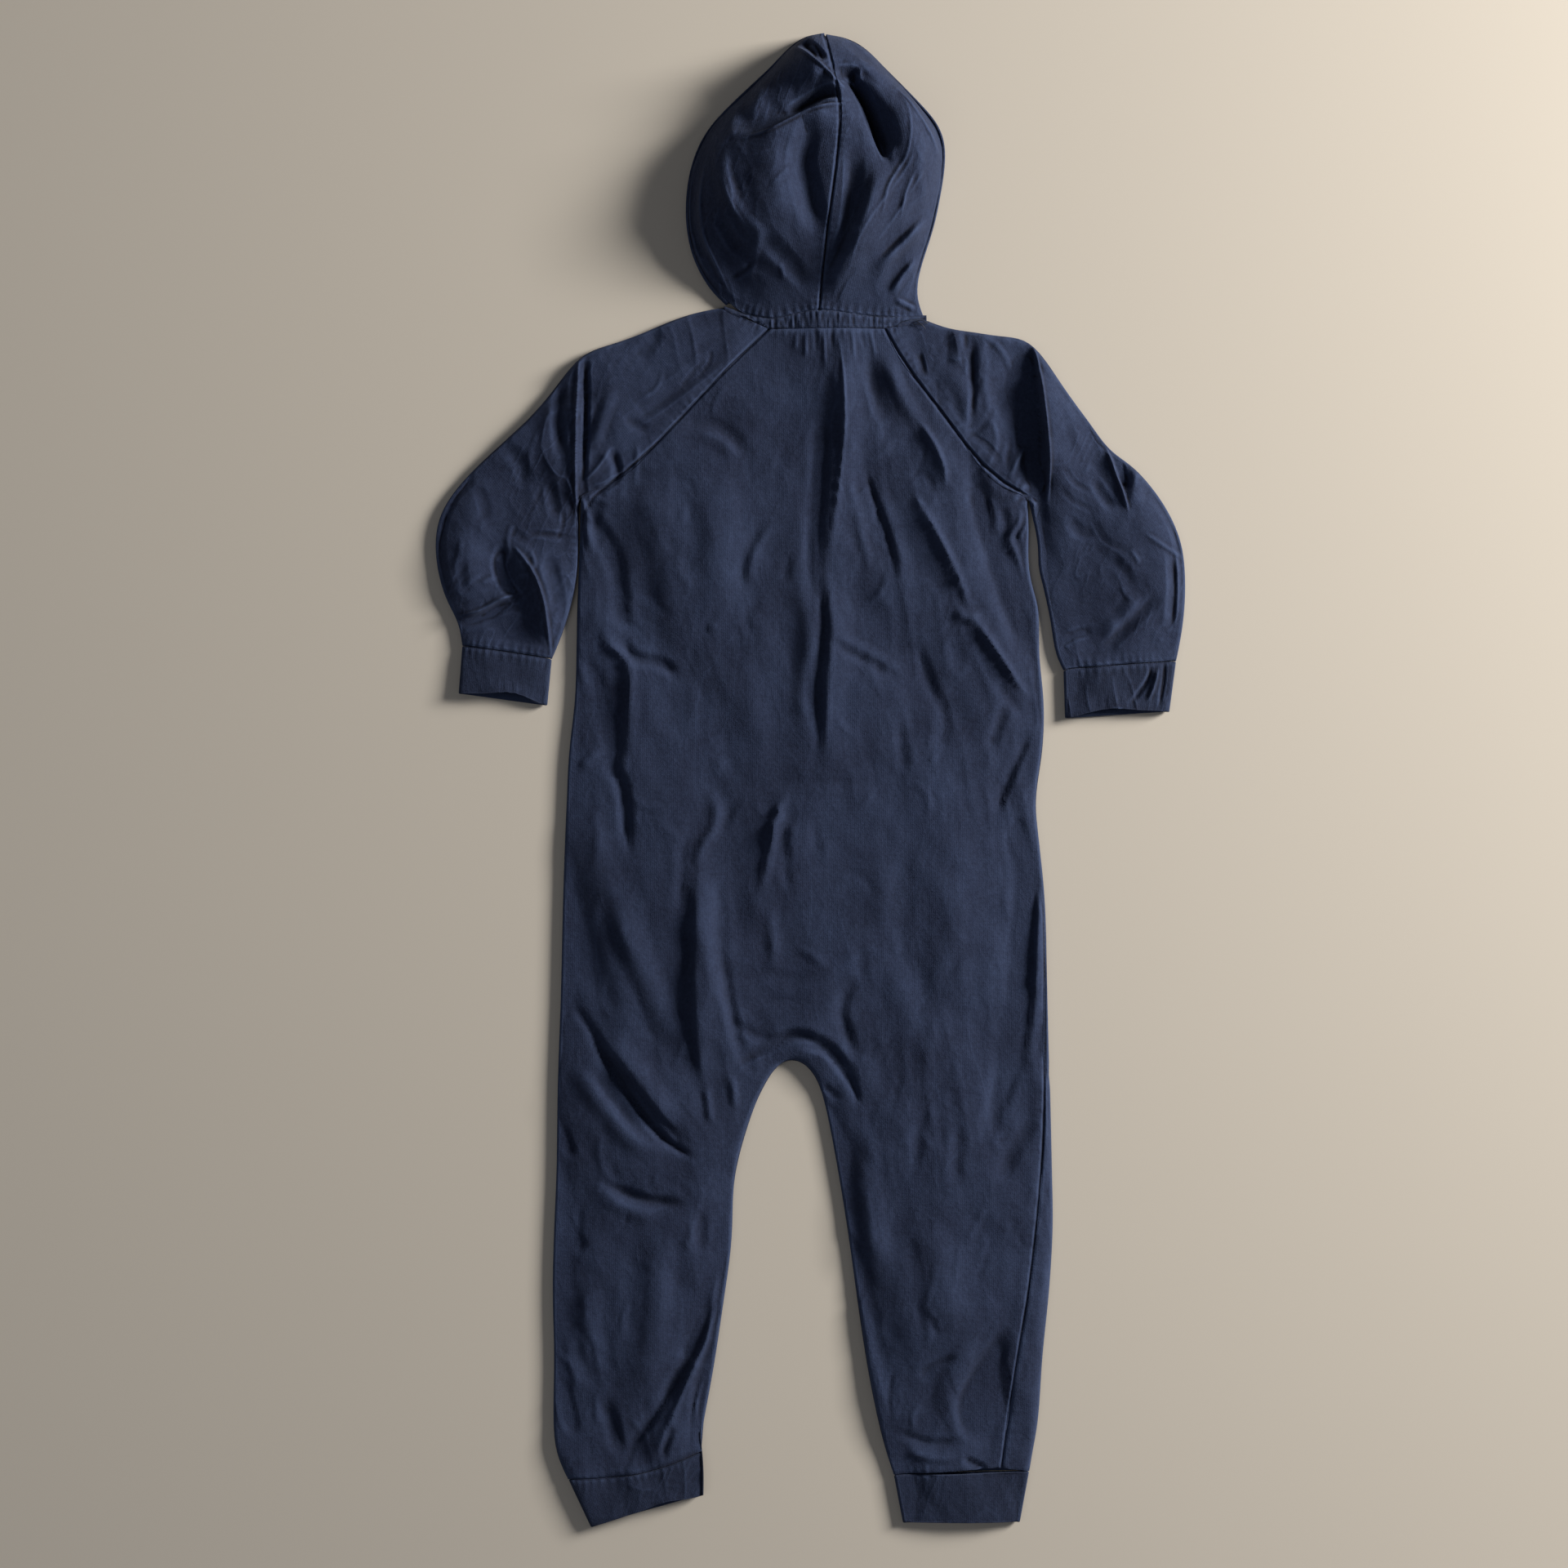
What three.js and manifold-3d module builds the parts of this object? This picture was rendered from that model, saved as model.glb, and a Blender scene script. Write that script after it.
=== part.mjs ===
// A child's hooded one-piece in brushed sweat knit, laid out flat on its zipped front with its back upward.
// Millimetres. +X is the wearer's right, +Y runs to the hood, +Z is up, and z = 0 is the surface it lies on.
// Every cloth piece is a wall: a sheet of points with their outward directions, moved half the cloth's
// thickness to each side. The layer below lies flat, and the layer above follows one relief of folds.
import * as THREE from "three";
import { RoundedBoxGeometry } from "three/addons/geometries/RoundedBoxGeometry.js";
import { mergeVertices } from "three/addons/utils/BufferGeometryUtils.js";
import Module from "manifold-3d";

// Cloth and seams
const CLOTH = 2.2; // thickness of the brushed knit
const SEAM = 0.3; // space between two pieces at a seam
const FOLD = 2; // radius to the middle of the cloth where it turns under at an edge
const PUFF = 2; // how far the upper layer rises over the lower one, away from the edges
const PUFF_REACH = 22; // distance from an edge over which it rises
const EDGE_FADE = 12; // folds fade out over this distance from an edge
const HALF = CLOTH / 2;
const LOW_Z = HALF; // middle of the layer that lies on the surface
const EDGE_Z = LOW_Z + FOLD; // middle of a folded edge
const RIM_Z = LOW_Z + 2 * FOLD; // middle of the upper layer beside an edge
const TURN = HALF + FOLD; // from the outline to where the cloth lies flat again
const SEAM_TURN = Math.asin(SEAM / 2 / FOLD); // angle on a folded edge that leaves half a seam
const SEWN_STRIP = 1.4; // second points of a sewn edge lie this far in
const SLOPE_STEP = { top: 0.8, low: 0.5 }; // distance over which a layer's slope is measured
const FOLD_ENDS = { share: 0.22, start: 0.25 }; // a fold rises over this share of its length

// Zip on the front, under the garment
const ZIP_X = 12;
const ZIP_TOP = 301;
const ZIP_END = 8;
const ZIP_HALF_GAP = 6; // half the width between the two front panels beside the zip
const ZIP_LIFT = 2.9; // the panels rise this much beside the zip, to leave its puller room
const ZIP_LIFT_REACH = 22;
const ZIP_LIFT_ENDS = { below: 22, above: 4, over: 20 }; // where that rise starts and ends along the zip
const ZIP_OPENING = { below: 12, over: 10 }; // where the panels part under the zip
const TAPE = { inner: 1.9, outer: 13, thick: 0.6 };
const CHAIN = { width: 3.2, thick: 2.2 };
const SLIDER = { width: 8, length: 11, plate: 1, post: 1.8, round: 0.3 };
const POST_LENGTH = 1.4;
const BRIDGE = { width: 1.6, length: 6.4, hole: 3.4, room: 2, bar: 0.7, sunk: 0.2 };
const TAB = { width: 6, length: 21, thick: 1.2, window: 2.6, windowLength: 4.4, round: 0.35 };

// Sides of the trunk and outer sides of the legs, from the armpits to the hems.
const SIDES = [
  { y: 184, left: -155, right: 146 },
  { y: 162, left: -155.2, right: 147 },
  { y: 140, left: -156, right: 146 },
  { y: 118, left: -157, right: 153.5 },
  { y: 86, left: -157.5, right: 153.5 },
  { y: 53, left: -158.5, right: 157 },
  { y: 20, left: -162.5, right: 156 },
  { y: -13, left: -164, right: 151 },
  { y: -35, left: -165, right: 153 },
  { y: -79, left: -166.5, right: 157.5 },
  { y: -145, left: -168, right: 159.5 },
  { y: -200, left: -170, right: 161 },
  { y: -266, left: -171, right: 162.5 },
  { y: -300, left: -172.5, right: 163 },
  { y: -343, left: -173.5, right: 160.5 },
  { y: -387, left: -172.5, right: 156 },
  { y: -431, left: -173, right: 153 },
  { y: -453, left: -171, right: 149 },
  { y: -472, left: -162, right: 146 },
];
const LEFT_HEM_Y = -470;
const RIGHT_HEM_Y = -464.5;
const HEM_BOW = { left: 6, right: 0 }; // the hem seams hang this much lower in their middle
const HEM_BEND_FROM = 0.75; // share of the leg from which its rows bend towards the hem

// Inner edges of the legs, from the top of the arch between them down to the hems.
const CROTCH = { x: -12.4, y: -187.6 };
const INNER_LEFT = [
  { x: -12.4, y: -187.6 },
  { x: -20.6, y: -190 },
  { x: -28.3, y: -200 },
  { x: -38.8, y: -222 },
  { x: -51, y: -266 },
  { x: -53, y: -310 },
  { x: -59, y: -354 },
  { x: -65.7, y: -398 },
  { x: -74, y: -442 },
  { x: -74.5, y: -448 },
];
const INNER_RIGHT = [
  { x: -12.4, y: -187.6 },
  { x: -5.2, y: -189.5 },
  { x: 4, y: -200 },
  { x: 10.7, y: -222 },
  { x: 19, y: -266 },
  { x: 26, y: -310 },
  { x: 32, y: -354 },
  { x: 38.8, y: -398 },
  { x: 48, y: -442 },
  { x: 56, y: -467 },
];

// On the right leg the side seam turns up onto the back: its distance from the outline, along the cloth.
const SIDE_SEAM = [
  { y: -80, inset: 0 },
  { y: -178, inset: 3 },
  { y: -245, inset: 6 },
  { y: -306, inset: 12 },
  { y: -359, inset: 15 },
  { y: -426, inset: 20 },
  { y: -470, inset: 19 },
];

// Raglan seams, from the neck to the armpits, the same on back and front.
const RAGLAN_LEFT = [
  { x: -28.3, y: 303 },
  { x: -57.5, y: 275.6 },
  { x: -80, y: 250.3 },
  { x: -98.7, y: 232 },
  { x: -117, y: 209 },
  { x: -133.4, y: 199 },
  { x: -154, y: 191.4 },
];
const RAGLAN_RIGHT = [
  { x: 49.8, y: 303 },
  { x: 60, y: 280 },
  { x: 75, y: 264 },
  { x: 93, y: 242 },
  { x: 110, y: 214.5 },
  { x: 126, y: 197 },
  { x: 146, y: 191 },
];

// Outer edges of the sleeves over the shoulder, from the neck to the cuff, and their inner edges,
// from the armpit to the cuff.
const SLEEVE_OUTER_LEFT = [
  { x: -57, y: 318.5 },
  { x: -78.4, y: 315 },
  { x: -102.6, y: 306 },
  { x: -125, y: 295.5 },
  { x: -143, y: 292 },
  { x: -158, y: 285 },
  { x: -166.4, y: 272 },
  { x: -182.3, y: 251 },
  { x: -205.4, y: 229 },
  { x: -229, y: 207 },
  { x: -246.7, y: 185 },
  { x: -252.7, y: 165.6 },
  { x: -251.6, y: 143.6 },
  { x: -245.6, y: 121.6 },
  { x: -236.5, y: 106 },
  { x: -234.5, y: 90.5 },
];
const SLEEVE_INNER_LEFT = [
  { x: -155.8, y: 184 },
  { x: -155.9, y: 162 },
  { x: -156.8, y: 140 },
  { x: -160.3, y: 120 },
  { x: -167.5, y: 97 },
  { x: -174, y: 81.6 },
];
const SLEEVE_OUTER_RIGHT = [
  { x: 77, y: 310 },
  { x: 87, y: 303 },
  { x: 103, y: 306 },
  { x: 114, y: 299 },
  { x: 132, y: 299 },
  { x: 147, y: 297 },
  { x: 157.6, y: 284 },
  { x: 172, y: 262 },
  { x: 188.4, y: 240 },
  { x: 200.5, y: 222.5 },
  { x: 212, y: 216 },
  { x: 231, y: 196 },
  { x: 244.5, y: 174 },
  { x: 251, y: 154 },
  { x: 252.3, y: 124 },
  { x: 250, y: 100 },
  { x: 246, y: 80 },
];
const SLEEVE_INNER_RIGHT = [
  { x: 147.6, y: 184 },
  { x: 151.2, y: 168 },
  { x: 153.4, y: 157 },
  { x: 152.5, y: 146 },
  { x: 157, y: 128 },
  { x: 161.5, y: 106 },
  { x: 164.5, y: 86 },
  { x: 170, y: 74 },
];

// Cuffs: the two ends of the seam that joins them on, and of their open edge. "back" is how far the
// upper layer stops short of the lower one.
const CUFFS = {
  sleeve_cuff_left: {
    outer: [{ x: -234.5, y: 90.5 }, { x: -237, y: 58.5 }],
    inner: [{ x: -174, y: 81.6 }, { x: -177, y: 50.5 }],
    back: 2.6,
    bow: 0,
  },
  sleeve_cuff_right: {
    outer: [{ x: 246, y: 80 }, { x: 241.5, y: 46 }],
    inner: [{ x: 170, y: 74 }, { x: 171, y: 42 }],
    back: 2.4,
    bow: 0,
  },
  leg_cuff_left: {
    outer: [{ x: -162.5, y: -470 }, { x: -148, y: -502 }],
    inner: [{ x: -74.5, y: -448 }, { x: -75, y: -480 }],
    back: 1.5,
    bow: HEM_BOW.left,
  },
  leg_cuff_right: {
    outer: [{ x: 146.5, y: -464.5 }, { x: 141, y: -498.5 }],
    inner: [{ x: 56, y: -467 }, { x: 62, y: -499 }],
    back: 0,
    bow: HEM_BOW.right,
  },
};

// Hood: the seam over its middle, from the neck to the crown, and its outline on each side.
const HOOD_SEAM = [
  { x: 5.8, y: 315.2 },
  { x: 10.7, y: 362 },
  { x: 15, y: 393 },
  { x: 18.4, y: 423 },
  { x: 20, y: 446 },
  { x: 14, y: 474 },
  { x: 9.6, y: 497 },
];
const HOOD_LEFT = [
  { x: -57, y: 319.2 },
  { x: -68, y: 330 },
  { x: -79, y: 350 },
  { x: -84, y: 372 },
  { x: -84, y: 394 },
  { x: -80, y: 416 },
  { x: -69.6, y: 438 },
  { x: -48.7, y: 460 },
  { x: -25, y: 482 },
  { x: -15, y: 493.5 },
  { x: -4, y: 501 },
  { x: 6, y: 502.7 },
];
const HOOD_RIGHT = [
  { x: 76.6, y: 311.2 },
  { x: 71, y: 328 },
  { x: 76, y: 350 },
  { x: 83.3, y: 372 },
  { x: 87.7, y: 394 },
  { x: 91, y: 416 },
  { x: 88.3, y: 438 },
  { x: 69.6, y: 460 },
  { x: 47.6, y: 482 },
  { x: 37.7, y: 492.5 },
  { x: 25, y: 499.5 },
  { x: 13.4, y: 502 },
];
const HOOD_RISE = 31; // height of the hood over the flat cloth
const HOOD_REACH = 46; // distance from its outline over which it rises
const HOOD_SEAM_GAP = 0.5; // space between its halves
const HOOD_START = { from: 2, to: 62 }; // distance from the neck over which it rises
const HOOD_NECK_ROWS = 4; // rows over which its neck edge straightens out
// Under the hood lies its face opening. "reach" is how much of each row the cloth covers below,
// from the outline to the middle, for rows from the neck (0) to the crown (1).
const FACE_EDGE = [
  { row: 0, reach: 1 },
  { row: 0.06, reach: 0.72 },
  { row: 0.14, reach: 0.42 },
  { row: 0.3, reach: 0.3 },
  { row: 0.5, reach: 0.3 },
  { row: 0.62, reach: 0.42 },
  { row: 0.7, reach: 0.72 },
  { row: 0.76, reach: 1 },
  { row: 1, reach: 1 },
];

// Neck tape: its upper edge meets the hood, its lower edge the sleeves and the back.
const NECK_HIGH = [
  { x: -57, y: 319.2 },
  { x: -43.7, y: 313.5 },
  { x: -26.7, y: 309.6 },
  { x: -10.2, y: 313 },
  { x: 5.8, y: 315.2 },
  { x: 25, y: 313 },
  { x: 48, y: 310.8 },
  { x: 62, y: 310.4 },
  { x: 76.6, y: 311.2 },
];
const TAPE_RIBS = { from: -27, to: 49, count: 22, height: 0.5, perRib: 3 };
const TAPE_PLAIN_STEP = 5; // between the tape's points outside its ribs
const TAPE_SHORT = 1.5; // the tape stops this far from where the cloth lies flat

// Folds of the upper layer. "path" runs along a fold, "rise" is its height (below zero for a trough)
// and "half" is half its width.
const BODY_FOLDS = [
  { path: [[12, 390], [12, 150], [12, -45]], rise: 3.2, half: 30 },
  { path: [[20, 299], [22, 236], [18, 179], [11, 142]], rise: 2.6, half: 12 },
  { path: [[11, 131], [16, 99], [11, 42], [9.6, 8]], rise: 2.6, half: 11 },
  { path: [[67, 193], [82, 168], [95, 140], [107, 114]], rise: 4, half: 11 },
  { path: [[107, 114], [123.5, 92], [137, 74], [145.5, 58]], rise: 3.4, half: 10 },
  { path: [[103, 216], [115, 170], [126, 138], [133, 110]], rise: -2.2, half: 13 },
  { path: [[75.6, 241], [87, 218], [89.4, 197]], rise: 3.4, half: 12 },
  { path: [[34, 289], [46, 260], [51, 230]], rise: -1.8, half: 11 },
  { path: [[35.5, 212], [48, 156], [57.5, 124]], rise: -1.8, half: 9 },
  { path: [[-78, 251], [-73, 174], [-67, 86]], rise: 2.4, half: 32 },
  { path: [[-139, 179], [-130, 168], [-122, 142], [-119, 110]], rise: -2.2, half: 12 },
  { path: [[-119, 110], [-96, 85], [-87, 73]], rise: -2, half: 9 },
  { path: [[-136, 91], [-129, 42], [-123, -50]], rise: -1.8, half: 10 },
  { path: [[15, 98], [27, 90], [52, 76]], rise: -1.6, half: 8 },
  { path: [[-68, -6], [-63, -27], [-72, -44], [-73, -85], [-71, -134], [-63, -195]], rise: 4.4, half: 11 },
  { path: [[-18, -9], [-22, -27], [-27, -46], [-30, -69]], rise: 2.4, half: 10 },
  { path: [[151, 35], [138, 14], [124, -18]], rise: -2, half: 10 },
  { path: [[138, -32], [145, -70], [138, -130], [129, -199]], rise: -2, half: 11 },
  { path: [[28, -135], [23, -158], [31, -185]], rise: -1.6, half: 9 },
  { path: [[-161, -149], [-142, -180], [-128, -208], [-111, -230], [-79, -250]], rise: -2.6, half: 11 },
  { path: [[-140, -140], [-118, -185], [-95, -213], [-72, -226]], rise: 3, half: 14 },
  { path: [[-141, -267], [-121, -277], [-87, -283]], rise: -2, half: 10 },
  { path: [[-123, -306], [-121, -376]], rise: -2, half: 11 },
  { path: [[-68, -359], [-80, -376], [-92, -400], [-118, -448], [-125, -464]], rise: -2.4, half: 10 },
  { path: [[-66, -385], [-82, -415], [-102, -448]], rise: 2.4, half: 12 },
  { path: [[122, -382], [122, -442]], rise: -2.2, half: 17 },
  { path: [[87, -244], [92, -320], [92, -381]], rise: 2.4, half: 26 },
];
const SLEEVE_FOLDS = [
  { path: [[-155, 284], [-154, 252], [-156, 206]], rise: -2.6, half: 9 },
  { path: [[-164, 267], [-169, 218], [-168, 174]], rise: 4, half: 12 },
  { path: [[-197, 159], [-187, 142], [-181, 130], [-177, 113], [-179, 90]], rise: 4, half: 10 },
  { path: [[-195, 156], [-205, 141], [-206, 122]], rise: -2.2, half: 9 },
  { path: [[-221, 196], [-232, 163], [-227, 124]], rise: 4.6, half: 17 },
  { path: [[-234, 105], [-217, 112], [-195, 122]], rise: -2.4, half: 7 },
  { path: [[-41, 301], [-64, 282], [-96, 257]], rise: 1.8, half: 9 },
  { path: [[148, 293], [154, 251], [157, 219], [157, 190]], rise: -2.6, half: 10 },
  { path: [[161, 278], [169, 240], [172, 196], [169, 152]], rise: 4, half: 13 },
  { path: [[136, 192], [144, 226]], rise: 2, half: 6 },
  { path: [[200, 222], [204, 211], [209, 192], [211, 181]], rise: -2.6, half: 8 },
  { path: [[224, 190], [235, 152], [237, 113]], rise: 4.6, half: 17 },
  { path: [[177, 76], [198, 91], [213, 106]], rise: -2, half: 8 },
];
const HOOD_FOLDS = [
  { path: [[-42, 436], [-25, 441], [-2, 452], [12, 459]], rise: -9, half: 10 },
  { path: [[-48, 418], [-28, 422], [-3, 433], [20, 438]], rise: 5, half: 11 },
  { path: [[22, 466], [28, 461], [34, 452], [40, 441], [48, 424], [50, 411]], rise: -15, half: 11 },
  { path: [[-22, 478], [-6, 474], [8, 466]], rise: 5, half: 12 },
  { path: [[50, 410], [37, 383], [28, 349], [11, 324]], rise: 6, half: 13 },
  { path: [[-1, 435], [-4, 405], [3, 372]], rise: -5, half: 14 },
  { path: [[-70, 411], [-75, 380], [-72, 355], [-62, 333]], rise: -4, half: 9 },
  { path: [[83, 387], [65, 369], [48, 355]], rise: -6, half: 9 },
  { path: [[77, 362], [64, 348], [51, 335]], rise: -5, half: 8 },
  { path: [[59, 458], [70, 432], [73, 405]], rise: 6, half: 15 },
];

// How finely the cloth is divided.
const RAGLAN_ROWS = 8;
const TRUNK_ROWS = 22;
const LEG_ROWS = 19;
const ARCH_EASE = 1.25; // rows lie closer together round the arch
const BACK_COLUMNS = 8; // across half the back
const FRONT_COLUMNS = 2;
const ARM_ROWS = 11; // below the armpit
const ARM_COLUMNS = 8;
const CUFF_ROWS = 2;
const CUFF_COLUMNS = 8;
const HOOD_ROWS = 17;
const HOOD_COLUMNS = 9;
const UNDER_COLUMNS = 2;
const CURVE_DIVISIONS = 400; // for even lengths along an edge
const SIDE_SEGMENTS = 60; // of each side, for the distance from the outline
const EDGE_SEGMENTS = 40; // of each other edge
const LEAST_CLEAR = 0.5; // between the two layers
const POINT_GRID = 2000; // points that share a place to 1/2000 mm are one

const COLOURS = { cloth: 0x2a3044, rib: 0x262b3d, tape: 0x242a3c, metal: 0x8d8f94 };

const wasm = await Module();
wasm.setup();

// Numbers and plane geometry

function mix(a, b, share) {
  return a + (b - a) * share;
}

function smooth(share) {
  const s = THREE.MathUtils.clamp(share, 0, 1);
  return s * s * (3 - 2 * s);
}

// A column of a table at any value of its key, on a smooth curve through the rows.
function column(table, key, name, at) {
  const rising = table[table.length - 1][key] > table[0][key];
  const before = table.findLastIndex((row) => (rising ? row[key] <= at : row[key] >= at));
  const i = THREE.MathUtils.clamp(before, 0, table.length - 2);
  const share = THREE.MathUtils.clamp((at - table[i][key]) / (table[i + 1][key] - table[i][key]), 0, 1);
  const slope = (k) => {
    const low = Math.max(k - 1, 0);
    const high = Math.min(k + 1, table.length - 1);
    return (table[high][name] - table[low][name]) / (table[high][key] - table[low][key]);
  };
  const span = table[i + 1][key] - table[i][key];
  const s2 = share * share;
  const s3 = s2 * share;
  return (
    (2 * s3 - 3 * s2 + 1) * table[i][name] +
    (s3 - 2 * s2 + share) * span * slope(i) +
    (3 * s2 - 2 * s3) * table[i + 1][name] +
    (s3 - s2) * span * slope(i + 1)
  );
}

function curveOf(table) {
  const curve = new THREE.SplineCurve(table.map(({ x, y }) => new THREE.Vector2(x, y)));
  curve.arcLengthDivisions = CURVE_DIVISIONS;
  return curve;
}

const edges = {
  raglanLeft: curveOf(RAGLAN_LEFT),
  raglanRight: curveOf(RAGLAN_RIGHT),
  innerLeft: curveOf(INNER_LEFT),
  innerRight: curveOf(INNER_RIGHT),
  armOuterLeft: curveOf(SLEEVE_OUTER_LEFT),
  armOuterRight: curveOf(SLEEVE_OUTER_RIGHT),
  armInnerLeft: curveOf(SLEEVE_INNER_LEFT),
  armInnerRight: curveOf(SLEEVE_INNER_RIGHT),
  hoodSeam: curveOf(HOOD_SEAM),
  hoodLeft: curveOf(HOOD_LEFT),
  hoodRight: curveOf(HOOD_RIGHT),
};

// A place on an edge and the direction out of the cloth there. "turn" is +1 where the outside lies to
// the right of the edge's own direction, and -1 where it lies to the left.
function onEdge(curve, share, turn) {
  const along = curve.getTangentAt(THREE.MathUtils.clamp(share, 0.001, 0.999));
  return {
    place: curve.getPointAt(share),
    out: new THREE.Vector2(along.y * turn, -along.x * turn),
  };
}

function onSide(name, y) {
  const place = new THREE.Vector2(column(SIDES, "y", name, y), y);
  const step = 2;
  const slope = (column(SIDES, "y", name, y + step) - column(SIDES, "y", name, y - step)) / (2 * step);
  const sign = name === "left" ? -1 : 1;
  return { place, out: new THREE.Vector2(sign, -sign * slope).normalize() };
}

function toSegment(x, y, a, b) {
  const dx = b.x - a.x;
  const dy = b.y - a.y;
  const share = THREE.MathUtils.clamp(((x - a.x) * dx + (y - a.y) * dy) / (dx * dx + dy * dy), 0, 1);
  return { far: Math.hypot(x - a.x - dx * share, y - a.y - dy * share), share };
}

// Every edge where the cloth turns under, as short segments.
function outlineSegments() {
  const sides = ["left", "right"].map((name) => {
    return Array.from({ length: SIDE_SEGMENTS + 1 }, (_, i) => {
      const y = mix(SIDES[0].y, SIDES[SIDES.length - 1].y, i / SIDE_SEGMENTS);
      return new THREE.Vector2(column(SIDES, "y", name, y), y);
    });
  });
  const names = ["innerLeft", "innerRight", "armOuterLeft", "armOuterRight"];
  names.push("armInnerLeft", "armInnerRight", "hoodLeft", "hoodRight");
  const cuffs = Object.values(CUFFS).flatMap(({ outer, inner }) => [outer, inner]);
  const curves = names.map((name) => edges[name].getSpacedPoints(EDGE_SEGMENTS));
  return [...curves, ...sides, ...cuffs].flatMap((line) => line.slice(1).map((point, i) => [line[i], point]));
}

const OUTLINE = outlineSegments();

function insetAt(x, y) {
  return Math.min(...OUTLINE.map(([a, b]) => toSegment(x, y, a, b).far));
}

// Height that a list of folds adds at a place. Each fold is a smooth ridge that thins out at its ends.
function foldsAt(folds, x, y) {
  let height = 0;
  for (const { path, rise, half } of folds) {
    const points = path.map(([px, py]) => ({ x: px, y: py }));
    const lengths = points.slice(1).map((p, i) => Math.hypot(p.x - points[i].x, p.y - points[i].y));
    const total = lengths.reduce((sum, length) => sum + length, 0);
    let nearest = { far: Infinity, along: 0 };
    let passed = 0;
    lengths.forEach((length, i) => {
      const { far, share } = toSegment(x, y, points[i], points[i + 1]);
      if (far < nearest.far) nearest = { far, along: (passed + share * length) / total };
      passed += length;
    });
    if (nearest.far >= half) continue;
    const across = 1 - (nearest.far / half) ** 2;
    const toEnd = Math.min(nearest.along, 1 - nearest.along);
    const ends = smooth(toEnd / FOLD_ENDS.share + FOLD_ENDS.start);
    height += rise * across * across * ends;
  }
  return height;
}

// Height of the middle of the upper layer.
function topAt(x, y, hooded) {
  const inset = Math.max(0, insetAt(x, y) - TURN);
  const puff = PUFF * (1 - Math.exp(-inset / PUFF_REACH));
  const fade = smooth(inset / EDGE_FADE);
  let height = RIM_Z + puff + fade * (foldsAt(BODY_FOLDS, x, y) + foldsAt(SLEEVE_FOLDS, x, y));
  if (hooded) {
    const neck = y - column(NECK_HIGH, "x", "y", x);
    const up = smooth((neck - HOOD_START.from) / (HOOD_START.to - HOOD_START.from));
    const round = Math.min(1, inset / HOOD_REACH);
    height += up * HOOD_RISE * Math.sqrt(1 - (1 - round) ** 2) + fade * up * foldsAt(HOOD_FOLDS, x, y);
  }
  return Math.max(height, LOW_Z + CLOTH + LEAST_CLEAR);
}

// Points of a wall: "at" is the middle of the cloth, "out" its outward direction.

function topPoint(x, y, hooded = false, lift = 0) {
  const step = SLOPE_STEP.top;
  const slopeX = (topAt(x + step, y, hooded) - topAt(x - step, y, hooded)) / (2 * step);
  const slopeY = (topAt(x, y + step, hooded) - topAt(x, y - step, hooded)) / (2 * step);
  const out = new THREE.Vector3(-slopeX, -slopeY, 1).normalize();
  return { at: new THREE.Vector3(x, y, topAt(x, y, hooded)), out, lift };
}

// Under the garment the cloth is flat, but for the stretch beside the zip.
function lowHeight(x, y) {
  const beside = 1 - smooth((Math.abs(x - ZIP_X) - ZIP_HALF_GAP) / ZIP_LIFT_REACH);
  const { below, above, over } = ZIP_LIFT_ENDS;
  const ends = smooth((y - ZIP_END + below) / over) * (1 - smooth((y - ZIP_TOP - above) / over));
  return LOW_Z + ZIP_LIFT * beside * ends;
}

function lowPoint(x, y) {
  const step = SLOPE_STEP.low;
  const slopeX = (lowHeight(x + step, y) - lowHeight(x - step, y)) / (2 * step);
  const slopeY = (lowHeight(x, y + step) - lowHeight(x, y - step)) / (2 * step);
  const out = new THREE.Vector3(slopeX, slopeY, -1).normalize();
  return { at: new THREE.Vector3(x, y, lowHeight(x, y)), out };
}

// A point where the cloth turns under at an edge. The angle is 90 degrees on top and -90 below.
function turnPoint({ place, out }, angle) {
  const inset = HALF + FOLD * (1 - Math.cos(angle));
  const flat = place.clone().addScaledVector(out, -inset);
  const z = EDGE_Z + FOLD * Math.sin(angle);
  const direction = new THREE.Vector3(out.x * Math.cos(angle), out.y * Math.cos(angle), Math.sin(angle));
  return { at: new THREE.Vector3(flat.x, flat.y, z), out: direction };
}

// A place inside an edge. A sewn edge has a "run", the direction of its row, which is followed instead.
function inFrom({ place, out, run }, distance) {
  if (run) return place.clone().addScaledVector(run, distance / Math.abs(run.dot(out)));
  return place.clone().addScaledVector(out, -distance);
}

// Gives the sewn edges of a row its own direction, from one end to the other.
function alongRow(row, a, b) {
  const run = row[b].place.clone().sub(row[a].place).normalize();
  const give = (edge, sign) => (edge.sewn ? { ...edge, run: run.clone().multiplyScalar(sign) } : edge);
  return { ...row, [a]: give(row[a], 1), [b]: give(row[b], -1) };
}

// The strip of points beside an edge, from the edge inwards. A sewn edge stays in its layer, and a
// folded one turns down or up to the middle of the fold.
const QUARTER = Math.PI / 2;

function topStrip(edge, hooded = false) {
  if (edge.sewn) {
    return [SEAM / 2, SEWN_STRIP, TURN].map((distance) => {
      const { x, y } = inFrom(edge, distance);
      return topPoint(x, y, hooded);
    });
  }
  const { x, y } = inFrom(edge, TURN);
  return [turnPoint(edge, SEAM_TURN), turnPoint(edge, QUARTER / 2), topPoint(x, y, hooded)];
}

function lowStrip(edge) {
  if (edge.sewn) {
    return [SEAM / 2, SEWN_STRIP, TURN].map((distance) => {
      const { x, y } = inFrom(edge, distance);
      return lowPoint(x, y);
    });
  }
  return [-SEAM_TURN, -QUARTER / 2, -QUARTER].map((angle) => turnPoint(edge, angle));
}

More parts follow.
